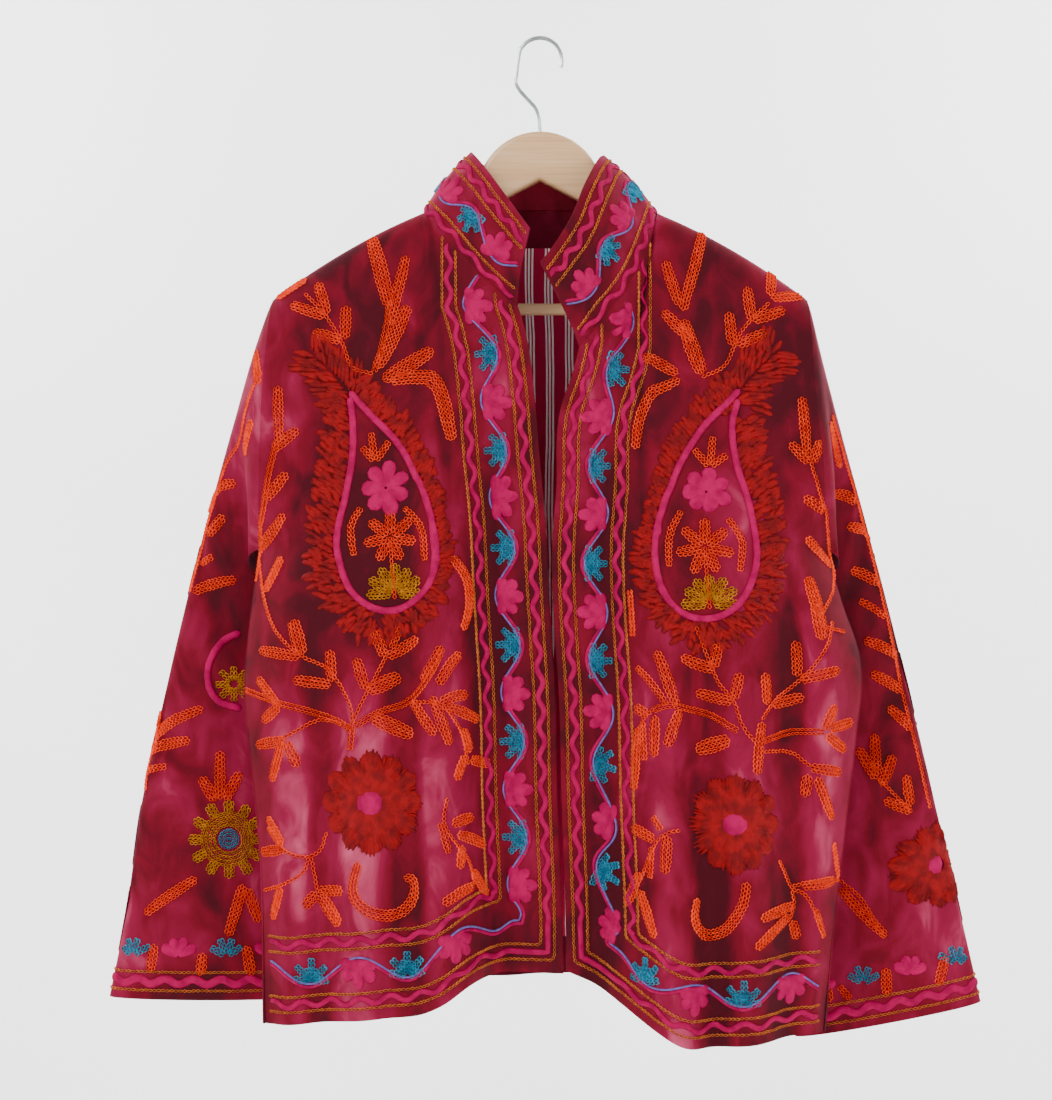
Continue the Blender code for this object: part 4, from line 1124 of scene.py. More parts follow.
LEFT_CHART = Chart(
    leaves=(
        Leaf(389, 306, 372, 239, 13), Leaf(388, 326, 406, 256, 11), Leaf(377, 368, 408, 306, 13),
        Leaf(383, 380, 433, 350, 13), Leaf(345, 339, 346, 306, 11), Leaf(342, 341, 313, 332, 11),
        Leaf(327, 315, 318, 283, 11), Leaf(325, 317, 291, 305, 11), Leaf(307, 279, 277, 299, 12),
        Leaf(279, 442, 278, 386, 10), Leaf(272, 450, 298, 429, 10), Leaf(265, 500, 287, 473, 11),
        Leaf(260, 551, 284, 514, 12), Leaf(265, 592, 282, 557, 12), Leaf(302, 655, 293, 620, 13),
        Leaf(300, 657, 260, 650, 12), Leaf(332, 682, 330, 650, 12), Leaf(331, 685, 293, 680, 12),
        Leaf(280, 707, 258, 678, 12), Leaf(280, 706, 263, 721, 11), Leaf(285, 740, 257, 745, 11),
        Leaf(282, 742, 272, 781, 12), Leaf(286, 741, 298, 767, 11), Leaf(366, 690, 356, 658, 11),
        Leaf(367, 691, 400, 676, 13), Leaf(385, 657, 374, 630, 11), Leaf(387, 657, 418, 638, 12),
        Leaf(390, 650, 402, 626, 8), Leaf(372, 717, 413, 735, 15), Leaf(422, 682, 442, 646, 10),
        Leaf(438, 685, 460, 653, 10), Leaf(440, 703, 467, 695, 11), Leaf(445, 708, 478, 720, 12),
        Leaf(412, 700, 435, 735, 9), Leaf(431, 696, 450, 745, 11), Leaf(465, 755, 456, 780, 11),
        Leaf(470, 760, 490, 764, 11), Leaf(463, 728, 470, 752, 9), Leaf(440, 821, 449, 855, 8),
        Leaf(452, 825, 473, 817, 11), Leaf(457, 835, 485, 845, 12), Leaf(462, 845, 460, 869, 9),
        Leaf(472, 870, 487, 895, 11), Leaf(474, 886, 443, 904, 11), Leaf(283, 845, 268, 817, 12),
        Leaf(285, 849, 262, 852, 10), Leaf(317, 892, 304, 908, 10), Leaf(318, 891, 343, 891, 11),
        Leaf(320, 895, 340, 925, 13), Leaf(281, 886, 273, 919, 12),
    ),
    sprigs=(
        Sprig(13, ((390, 380), (419, 377), (440, 391), (452, 440))),
        Sprig(7, ((374, 372), (381, 350), (387, 322), (389, 302))),
        Sprig(3, ((373, 374), (352, 367), (342, 342), (325, 315), (305, 294))),
        Sprig(6, ((277, 440), (268, 478), (263, 512), (257, 554), (252, 584))),
        Sprig(3, ((260, 560), (266, 605), (278, 634), (302, 656), (330, 671), (350, 706), (352, 730))),
        Sprig(6, ((352, 726), (350, 750))),
        Sprig(6, ((352, 730), (335, 720), (305, 710), (276, 702), (246, 690))),
        Sprig(3, ((350, 726), (320, 720), (296, 731), (276, 742))),
        Sprig(3, ((352, 724), (362, 702), (371, 684))),
        Sprig(3, ((372, 684), (380, 668), (388, 652))),
        Sprig(6, ((355, 726), (380, 712), (410, 700), (429, 676), (442, 648))),
        Sprig(3, ((410, 701), (440, 704), (460, 730), (468, 764))),
        Sprig(9, ((451, 556), (466, 578), (469, 606), (463, 630))),
        Sprig(3, ((447, 798), (444, 822), (455, 842), (469, 862), (474, 884))),
        Sprig(3, ((327, 832), (320, 850), (306, 857), (284, 850), (268, 828))),
        Sprig(3, ((311, 857), (315, 877), (318, 893))),
        Sprig(3, ((309, 857), (303, 872), (284, 884), (265, 890))),
        Sprig(11, ((358, 862), (353, 893), (369, 912), (394, 915), (412, 901), (414, 881), (404, 877))),
    ),
    paisley=LEFT_PAISLEY,
    rosettes=((371, 803, 50, 16),),
)
RIGHT_CHART = Chart(
    leaves=(
        Leaf(683, 311, 702, 233, 12), Leaf(680, 306, 665, 261, 11), Leaf(692, 341, 663, 311, 11),
        Leaf(702, 374, 683, 320, 13), Leaf(678, 374, 642, 362, 12), Leaf(733, 346, 729, 312, 11),
        Leaf(737, 345, 766, 333, 11), Leaf(752, 321, 747, 287, 11), Leaf(753, 321, 785, 310, 11),
        Leaf(770, 296, 769, 269, 11), Leaf(771, 298, 801, 297, 11), Leaf(807, 455, 802, 397, 9),
        Leaf(810, 463, 790, 443, 10), Leaf(812, 463, 821, 441, 10), Leaf(827, 513, 804, 497, 11),
        Leaf(831, 567, 806, 538, 12), Leaf(821, 617, 808, 577, 13), Leaf(715, 670, 681, 657, 11),
        Leaf(713, 668, 719, 643, 11), Leaf(733, 702, 696, 692, 11), Leaf(733, 700, 740, 673, 11),
        Leaf(730, 740, 696, 750, 13), Leaf(677, 707, 656, 651, 10), Leaf(680, 710, 667, 747, 12),
        Leaf(667, 707, 636, 666, 8), Leaf(655, 715, 654, 757, 9), Leaf(648, 715, 635, 707, 9),
        Leaf(643, 720, 645, 762, 8), Leaf(638, 727, 634, 790, 9), Leaf(767, 705, 765, 673, 11),
        Leaf(772, 705, 804, 697, 11), Leaf(797, 677, 795, 641, 11), Leaf(800, 680, 839, 670, 11),
        Leaf(822, 640, 815, 601, 13), Leaf(828, 646, 850, 626, 10), Leaf(825, 730, 835, 705, 11),
        Leaf(826, 735, 845, 750, 12), Leaf(829, 729, 852, 722, 9), Leaf(810, 767, 840, 772, 11),
        Leaf(808, 774, 805, 797, 10), Leaf(817, 777, 832, 819, 12), Leaf(662, 832, 652, 815, 8),
        Leaf(655, 840, 632, 827, 9), Leaf(667, 835, 665, 874, 9), Leaf(652, 845, 650, 880, 8),
        Leaf(640, 872, 627, 905, 9), Leaf(640, 890, 655, 938, 9), Leaf(795, 905, 761, 919, 12),
        Leaf(790, 915, 756, 949, 12), Leaf(792, 920, 797, 939, 10), Leaf(802, 886, 834, 880, 9),
        Leaf(838, 880, 833, 842, 8), Leaf(815, 908, 824, 938, 8),
    ),
    sprigs=(
        Sprig(12, ((680, 379), (656, 390), (640, 418), (635, 449))),
        Sprig(3, ((702, 377), (725, 365), (744, 328), (769, 303))),
        Sprig(3, ((811, 462), (822, 500), (831, 540), (833, 588), (820, 622), (844, 632))),
        Sprig(9, ((757, 775), (759, 748), (762, 722))),
        Sprig(3, ((758, 745), (742, 725), (734, 702), (715, 676), (696, 627))),
        Sprig(6, ((738, 731), (710, 715), (680, 707), (654, 710))),
        Sprig(3, ((654, 708), (642, 722), (637, 745))),
        Sprig(3, ((762, 720), (775, 700), (800, 680), (825, 650), (832, 622))),
        Sprig(6, ((764, 741), (790, 732), (824, 732))),
        Sprig(3, ((764, 752), (790, 752), (810, 766))),
        Sprig(6, ((630, 590), (633, 636))),
        Sprig(3, ((680, 830), (660, 838), (650, 856), (641, 880))),
        Sprig(11, ((747, 882), (742, 907), (725, 930), (706, 935), (695, 921), (697, 898))),
        Sprig(3, ((779, 860), (792, 888), (806, 895), (820, 922))),
        Sprig(3, ((792, 890), (794, 904), (790, 918))),
        Sprig(3, ((792, 886), (815, 882), (838, 880))),
    ),
    paisley=RIGHT_PAISLEY,
    rosettes=((735, 825, 48, 14),),
)
LEFT_SLEEVE_CHART = Chart(
    leaves=(
        Leaf(258, 385, 256, 352, 11), Leaf(245, 455, 252, 420, 11), Leaf(248, 452, 232, 430, 9),
        Leaf(208, 505, 236, 484, 10), Leaf(208, 536, 224, 516, 9), Leaf(200, 566, 214, 556, 8),
        Leaf(193, 593, 236, 580, 10), Leaf(150, 750, 203, 708, 9), Leaf(152, 756, 190, 740, 9),
        Leaf(152, 745, 160, 714, 9), Leaf(147, 774, 168, 766, 8), Leaf(220, 800, 220, 751, 10),
        Leaf(216, 801, 201, 777, 10), Leaf(225, 800, 240, 772, 10), Leaf(197, 878, 145, 914, 10),
        Leaf(243, 884, 228, 936, 11), Leaf(247, 888, 259, 922, 10), Leaf(150, 972, 154, 944, 9),
        Leaf(200, 976, 203, 953, 9), Leaf(252, 976, 246, 946, 9),
    ),
    sprigs=(
        Sprig(3, ((262, 372), (240, 440), (224, 470), (204, 540), (190, 592))),
        Sprig(3, ((158, 735), (150, 762), (146, 790))),
    ),
    daisies=((229, 839, 41, 11),),
)
RIGHT_SLEEVE_CHART = Chart(
    leaves=(
        Leaf(840, 468, 830, 422, 12), Leaf(856, 503, 833, 497, 10), Leaf(869, 540, 847, 527, 10),
        Leaf(879, 586, 851, 570, 11), Leaf(886, 620, 858, 600, 8), Leaf(896, 657, 864, 640, 10),
        Leaf(902, 692, 871, 673, 10), Leaf(912, 730, 888, 707, 11), Leaf(877, 779, 858, 748, 11),
        Leaf(877, 776, 874, 734, 11), Leaf(881, 786, 893, 755, 10), Leaf(912, 812, 884, 800, 11),
        Leaf(911, 806, 906, 775, 10), Leaf(840, 888, 886, 936, 9), Leaf(830, 1002, 822, 970, 10),
        Leaf(887, 996, 886, 968, 9), Leaf(938, 986, 945, 956, 9), Leaf(852, 1000, 838, 985, 8),
    ),
    sprigs=(
        Sprig(4, ((832, 415), (857, 500), (880, 588), (900, 682), (916, 748), (930, 808))),
        Sprig(3, ((840, 880), (862, 900), (884, 938))),
        Sprig(3, ((878, 778), (890, 790), (912, 812))),
    ),
    rosettes=((938, 864, 43, 13),),
)

# Offsets of the border's lines and waves from the edge in mm, and where its vine runs
LINES_AT = (6.5, 18.0, 51.5, 63.0)
WAVES_AT = (12.2, 57.2)
VINE_AT = 34.5
VINE_SWING = 9.0
FLOWER_EVERY = 81.0

# First flower, lines and waves of each front's border
FRONT_BORDERS = {
    -1: (79.0, LINES_AT, WAVES_AT),
    1: (92.0, (6.0, 18.0, 49.5, 59.5), (12.0, 54.4)),
}

# How much wider the border is along the hem, and how much further it lies from the edge in mm
HEM_WIDENS = 1.12
HEM_MARGIN = 3.0

# Where the fronts' borders start if the neckline lets them, and how far they keep from it in mm
BORDER_TOP_Z = -150.0
NECK_MARGIN = 4.0
NECK_START = 5.5

# Waves: swing and length. Near a corner they die away from one distance over another.
WAVE_SWING = 2.4
WAVE_LENGTH = 25.0
CORNER_CLEAR = 36.0
CORNER_FADES = 26.0
NO_CORNER = -1000.0

# Cords of the vine: shift from its middle, yarn and width
VINE_CORDS = ((1.5, Yarn.GREY, 1.9), (-0.9, Yarn.WAVE, 3.2))

# Half flowers: distance kept from a corner and the border's end, lobes as angle and share of the reach
FLOWER_FROM_CORNER = 54.0
FLOWER_FROM_END = 8.0
HALF_FLOWER_REACH = 22.0
HALF_FLOWER = np.array([(-80.0, 0.74), (-42.0, 0.92), (0.0, 1.0), (42.0, 0.92), (80.0, 0.74)])
FELT_LOBE_WIDTH = 11.5
WOOL_LOBE_WIDTH = 8.0

# Rows of chain that fill the foot of a wool half flower: distance from its base, and half length
FOOT_ROWS = ((1.5, 8.5), (4.5, 8.5), (7.5, 8.0), (10.5, 6.0))


@dataclass(frozen=True)
class Border:
    """Border along an edge: chained lines, waves of pink cord, and a vine with half flowers.

    The edge's own frame is a distance along the border and a distance in from the edge.
    """

    needle: Needle
    path: Callable
    length: float
    lines: tuple = LINES_AT
    waves: tuple = WAVES_AT
    vine: float = VINE_AT
    swing: float = VINE_SWING
    first: float = 20.0
    every: float = FLOWER_EVERY
    size: float = 1.0
    corner: float = NO_CORNER
    begins: Optional[Callable] = None
    wave_width: float = 5.2

    def begin(self, offset: float) -> float:
        """Distance along at which a line at an offset begins."""
        return self.begins(offset) if self.begins else 0.0

    def line(self, start: float, end: float, offset: Callable, spacing: float = 2.0) -> Array:
        """Places from one distance along to another, at an offset that may change."""
        run = np.linspace(start, end, max(4, int(abs(end - start) / spacing)))
        return self.path(run, offset(run))

    def work(self) -> None:
        """Works the whole border."""
        for offset in self.lines:
            row = self.line(self.begin(offset), self.length, lambda run: np.full_like(run, offset))
            self.needle.chain(row, Yarn.LINE, 3.8, 3.0, 1.1)
        for offset in self.waves:

            def wave(run: Array, offset: float = offset) -> Array:
                """Offset of the wave at a distance along."""
                return offset + WAVE_SWING * np.sin(run * math.tau / WAVE_LENGTH) * self.gate(run)

            row = self.line(self.begin(offset), self.length, wave)
            self.needle.cord(row, Yarn.WAVE, self.wave_width, 1.6, 3.2)
        if self.swing:
            self.work_vine()

    def gate(self, run: Array) -> Array:
        """Waves die away near the corner."""
        return step((np.abs(run - self.corner) - CORNER_CLEAR) / CORNER_FADES)

    def work_vine(self) -> None:
        """Double line of the vine, and the half flowers in its hollows."""
        turn = math.tau / self.every
        for shift, yarn, width in VINE_CORDS:

            def swing(run: Array, shift: float = shift) -> Array:
                """Offset of the vine at a distance along."""
                return self.vine + shift + self.swing * np.cos((run - self.first) * turn) * self.gate(run)

            row = self.line(self.begin(self.vine), self.length, swing)
            self.needle.cord(row, yarn, width, 1.3, 2.6)
        count = math.ceil((self.length - FLOWER_FROM_END - self.first) / (self.every / 2))
        for index in range(count):
            middle = self.first + index * self.every / 2
            if abs(middle - self.corner) >= FLOWER_FROM_CORNER:
                self.half_flower(middle, index % 2 == 0)

    def point(self, run: float, offset: float) -> Array:
        """Place at a distance along and an offset, in a row of its own."""
        return self.path(np.array([run]), np.array([offset]))

    def half_flower(self, middle: float, pink: bool) -> None:
        """Pink felt half flower that opens toward the edge, or a teal wool one away from it.

        Args:
            middle: Distance along the border.
            pink: Whether it is the pink one.
        """
        needle = self.needle
        size = self.size
        side = 1 if pink else -1
        base = self.vine + side * (self.swing - 2.5)
        here = self.point(middle, base)
        there, ahead, behind = (
            needle.cloth.read(needle.cloth.grid, place)
            for place in (
                self.point(middle, base - side * 4.0),
                self.point(middle + 4.0, base),
                self.point(middle - 4.0, base),
            )
        )
        out = unit(there - needle.cloth.read(needle.cloth.grid, here))
        on = unit(ahead - behind)
        on = unit(on - out * np.sum(on * out))
        angles = np.radians(HALF_FLOWER[:, :1])
        ways = (out * np.cos(angles) + on * np.sin(angles)) * HALF_FLOWER[:, 1:] * HALF_FLOWER_REACH * size
        starts = np.repeat(here, len(ways), 0)
        if pink:
            needle.lobes(starts, ways, FELT_LOBE_WIDTH * size, 2.0, Yarn.PINK)
            needle.disc(needle.cloth.moved(here, out * 6.0 * size)[0], 9.0 * size, Yarn.PINK, 2.1)
            return
        for start, way in zip(starts, ways):
            needle.leaf(needle.stroke(start[None], way[None])[0], WOOL_LOBE_WIDTH * size, Yarn.TEAL)
        for away, half in FOOT_ROWS:
            start = needle.cloth.moved(here, (out * away - on * half) * size)
            needle.chain(needle.stroke(start, on * half * 2 * size)[0], Yarn.TEAL)


class Finish:
    """Base of all finishes: makes a material, and helps to lay its nodes."""

    name: str

    def make(self) -> bpy.types.Material:
        """Makes the material."""
        made = bpy.data.materials.new(self.name)
        made.use_nodes = True
        self.tree = made.node_tree
        self.shader = self.tree.nodes["Principled BSDF"]
        self.place = self.node("ShaderNodeTexCoord", {}).outputs["Object"]
        self.fill(self.shader, self.surface())
        return made

    def surface(self) -> dict:
        """Inputs of the shader by name: values, or sockets of nodes that this lays."""
        raise NotImplementedError

    @staticmethod
    def linear(colour: str) -> tuple:
        """Linear colour of an sRGB hex value."""
        parts = [int(colour[i : i + 2], 16) / 255 for i in (1, 3, 5)]
        curved = [part / 12.92 if part <= 0.04045 else ((part + 0.055) / 1.055) ** 2.4 for part in parts]
        return (*curved, 1.0)

    def fill(self, node: bpy.types.Node, inputs: dict) -> None:
        """Sets a node's inputs, by name or number, to values or to other nodes' sockets."""
        for key, value in inputs.items():
            if isinstance(value, bpy.types.NodeSocket):
                self.tree.links.new(value, node.inputs[key])
            else:
                node.inputs[key].default_value = value

    def node(self, kind: str, inputs: dict) -> bpy.types.Node:
        """Adds a node with its inputs."""
        made = self.tree.nodes.new(kind)
        self.fill(made, inputs)
        return made

    def math(self, operation: str, *values: object) -> bpy.types.NodeSocket:
        """Result of a sum on values or sockets."""
        made = self.node("ShaderNodeMath", dict(enumerate(values)))
        made.operation = operation
        return made.outputs[0]

    def ramp(self, factor: bpy.types.NodeSocket, stops: list, kind: str = "LINEAR") -> bpy.types.NodeSocket:
        """Colour that runs through stops of a place and a hex value."""
        made = self.node("ShaderNodeValToRGB", {"Fac": factor})
        made.color_ramp.interpolation = kind
        elements = made.color_ramp.elements
        while len(elements) < len(stops):
            elements.new(0.5)
        for element, (place, colour) in zip(elements, stops):
            element.position = place
            element.color = self.linear(colour)
        return made.outputs["Color"]

    def noise(
        self, size: float, detail: float = 3.0, distortion: float = 0.0, stretch: tuple = (1, 1, 1)
    ) -> bpy.types.NodeSocket:
        """Noise whose marks are about a size in mm, over the object's own coordinates."""
        turned = self.node("ShaderNodeMapping", {"Vector": self.place, "Scale": stretch}).outputs["Vector"]
        inputs = {"Vector": turned, "Scale": 1000.0 / size, "Detail": detail, "Distortion": distortion}
        return self.node("ShaderNodeTexNoise", inputs).outputs["Fac"]

    def bump(self, height: bpy.types.NodeSocket, strength: float, depth: float, **under: object) -> object:
        """Bump of a depth in mm, over another one if its socket is given as Normal."""
        inputs = {"Height": height, "Strength": strength, "Distance": depth * MM, **under}
        return self.node("ShaderNodeBump", inputs).outputs["Normal"]


@dataclass
class Velvet(Finish):
    """Crushed cotton velvet: deep crimson where the pile stands, pale pink where it lies toward the light.

    The marks of the nap are about 26 and 120 mm across. Over them the colour is painted paler on fold ridges,
    a painted highlight, and darker in fold hollows, painted shade.
    The pile is drawn at 0.9 mm, coarser than the real 0.3 mm, so that it shows. The pink sheen lightens what
    is seen edge on.
    """

    name: str = "crushed_cotton_velvet"
    deep: str = "#3e000e"
    body: str = "#660019"
    bright: str = "#7e0a32"
    nap_and_painted_fold_light: str = "#b84866"
    sheen: float = 0.3

    def surface(self) -> dict:
        """Mottled colour with painted highlight on fold ridges and painted shade in fold hollows, and a bump
        of the marks and of the pile.
        """
        broad = self.noise(120, 3, 0.5, (1.0, 1.0, 0.6))
        streaks = self.noise(26, 5, 0.9, (1.0, 1.0, 0.55))
        # The vertex attribute read here holds how far the cloth stands out at each point: it paints highlight
        # on fold ridges and shade in fold hollows into the colour.
        ridge = self.node("ShaderNodeAttribute", {})
        ridge.attribute_name = "nap_and_painted_fold_light"
        mottled = self.math("MULTIPLY_ADD", streaks, 0.55, broad)
        raised = self.math("MULTIPLY_ADD", ridge.outputs["Fac"], 0.11, mottled)
        stops = [(0.5, self.deep), (0.64, self.body), (0.77, self.bright), (0.95, self.nap_and_painted_fold_light)]
        return {
            "Base Color": self.ramp(self.math("MULTIPLY", raised, 0.8), stops),
            "Normal": self.bump(self.noise(0.9, 2), 0.5, 0.35, Normal=self.bump(streaks, 0.35, 0.8)),
            "Roughness": 0.85,
            "Specular IOR Level": 0.15,
            "Sheen Weight": self.sheen,
            "Sheen Roughness": 0.32,
            "Sheen Tint": self.linear("#ff6a90"),
        }


@dataclass
class Wool(Finish):
    """Crewel wool or felted yarn: matt, a little uneven in its dye, with fibres about 0.8 mm apart."""

    name: str
    colour: str
    shade: str
    patch: float = 5.0
    depth: float = 0.35
    sheen: float = 0.06
    shine: float = 0.2

    def surface(self) -> dict:
        """Colour in patches of dye, and a bump of the fibres."""
        return {
            "Base Color": self.ramp(self.noise(self.patch, 3), [(0.36, self.shade), (0.6, self.colour)]),
            "Normal": self.bump(self.noise(0.8, 3, 1.0), 0.6, self.depth),
            "Roughness": 0.8,
            "Specular IOR Level": self.shine,
            "Sheen Weight": self.sheen,
            "Sheen Roughness": 0.4,
            "Sheen Tint": self.linear(self.colour),
        }


@dataclass
class StripedCotton(Finish):
    """Plain woven cotton, crimson with groups of three white stripes every 17 mm that wander a little."""

    name: str = "striped_cotton_lining"
    ground: str = "#b41444"
    stripe: str = "#ffffff"
    every: float = 0.017
    changes: tuple = (0.0, 0.48, 0.56, 0.64, 0.73, 0.81, 0.9)

    def surface(self) -> dict:
        """Stripes that change colour at shares of the repeat, and a bump of the weave."""
        x = self.node("ShaderNodeSeparateXYZ", {"Vector": self.place}).outputs["X"]
        moved = self.math("MULTIPLY_ADD", self.noise(90, 2), 0.006, x)
        share = self.math("FRACT", self.math("MULTIPLY", moved, 1 / self.every))
        stops = [(at, self.stripe if index % 2 else self.ground) for index, at in enumerate(self.changes)]
        return {
            "Base Color": self.ramp(share, stops, "CONSTANT"),
            "Normal": self.bump(self.noise(0.9, 2), 0.4, 0.2),
            "Roughness": 0.85,
            "Specular IOR Level": 0.2,
        }


@dataclass
class Beech(Finish):
    """Lacquered pale hardwood: fine grain lines 2 mm apart along the arms, and a soft satin coat."""

    name: str = "lacquered_pale_hardwood"
    light: str = "#dcb184"
    dark: str = "#c59463"

    def surface(self) -> dict:
        """Colour of broad figure and grain, and a slight bump of the grain."""
        broad = self.noise(30, 3, 0.6, (0.15, 1.0, 1.0))
        grain = self.noise(2.2, 4, 0.4, (0.03, 1.0, 1.0))
        half = self.math("MULTIPLY", self.math("ADD", broad, grain), 0.5)
        return {
            "Base Color": self.ramp(half, [(0.3, self.dark), (0.62, self.light)]),
            "Normal": self.bump(grain, 0.15, 0.08),
            "Roughness": 0.42,
            "Coat Weight": 0.25,
            "Coat Roughness": 0.3,
        }


@dataclass
class WireSteel(Finish):
    """Zinc-plated steel wire: grey, with slight spots of wear 4 mm across."""

    name: str = "plated_steel_wire"
    colour: str = "#a8b0ae"
    worn: str = "#8b9391"

    def surface(self) -> dict:
        """Metal with spots in its colour and its height."""
        spots = self.noise(4, 3)
        return {
            "Base Color": self.ramp(spots, [(0.3, self.worn), (0.6, self.colour)]),
            "Normal": self.bump(spots, 0.1, 0.05),
            "Metallic": 1.0,
            "Roughness": 0.3,
        }


@dataclass
class Paper(Finish):
    """Matt white studio paper."""

    name: str = "studio_paper"

    def surface(self) -> dict:
        """Near white, with very soft clouds."""
        clouds = self.noise(400, 1)
        return {"Base Color": self.ramp(clouds, [(0.3, "#f4f4f4"), (0.7, "#f8f8f8")]), "Roughness": 0.95}


@dataclass(frozen=True)
class Cut:
    """Flat cut of a piece of cloth in metres: width, length and area."""

    width: float
    length: float
    area: float


# Points that the inner sides of the fronts, the back and the collar look at
BEHIND = (0.0, 600.0, -500.0)
BEFORE = (0.0, -600.0, -500.0)
NECK_MIDDLE = (-2.0, 8.0, -130.0)

# Knots of the grids: how many, and the widest distance in mm between two
NECK_KNOTS = (7, 21.0)
SHOULDER_KNOTS = (12, 13.4)
BACK_KNOTS = (35, 14.6)
SLEEVE_KNOTS = (16, 41.0)
SLEEVE_COLUMNS = 96
COLLAR_ROWS = 24
COLLAR_COLUMNS = {"left": 44, "back": 72, "right": 50}

# The collar's grid starts this share of its height below the seam, so that no gap shows
COLLAR_UNDER = -0.03

# Lining: share left free at each side, knots, first armhole row, rows below those, and distances in mm
LINING_MARGIN = 0.03
LINING_KNOTS = (34, 14.0)
LINING_TOP_ROW = 4
LINING_ROWS_BELOW = 15
LINING_SPACING = (7.5, 8.0)
LINING_ROW_HEIGHT = 26.0
LINING_GAP = 0.5
LINING_WALL = 1.0
FACING_GRID = (16, 60)

# Share of the seams' dip on the first and the second row or column
DIP_SHARES = (1.0, 0.35)

# Angle in degrees above which an edge of the wall is shaded sharp
SHARP_ANGLE = 60.0

# Smoothing rounds behind the fold ridges and hollows that the velvet paints with highlight and shade, columns
# over which they fade at an edge, and height of a full one
RIDGE_ROUNDS = 45
RIDGE_FADES = 9.0
RIDGE_FULL = 2.2


def between(start: float, end: float, knots: tuple, spacing: float) -> Array:
    """Shares from a start to an end, through even knots, no further apart than the spacing in mm."""
    count, gap = knots
    return spread(np.linspace(start, end, count), np.full(count - 1, gap), spacing)


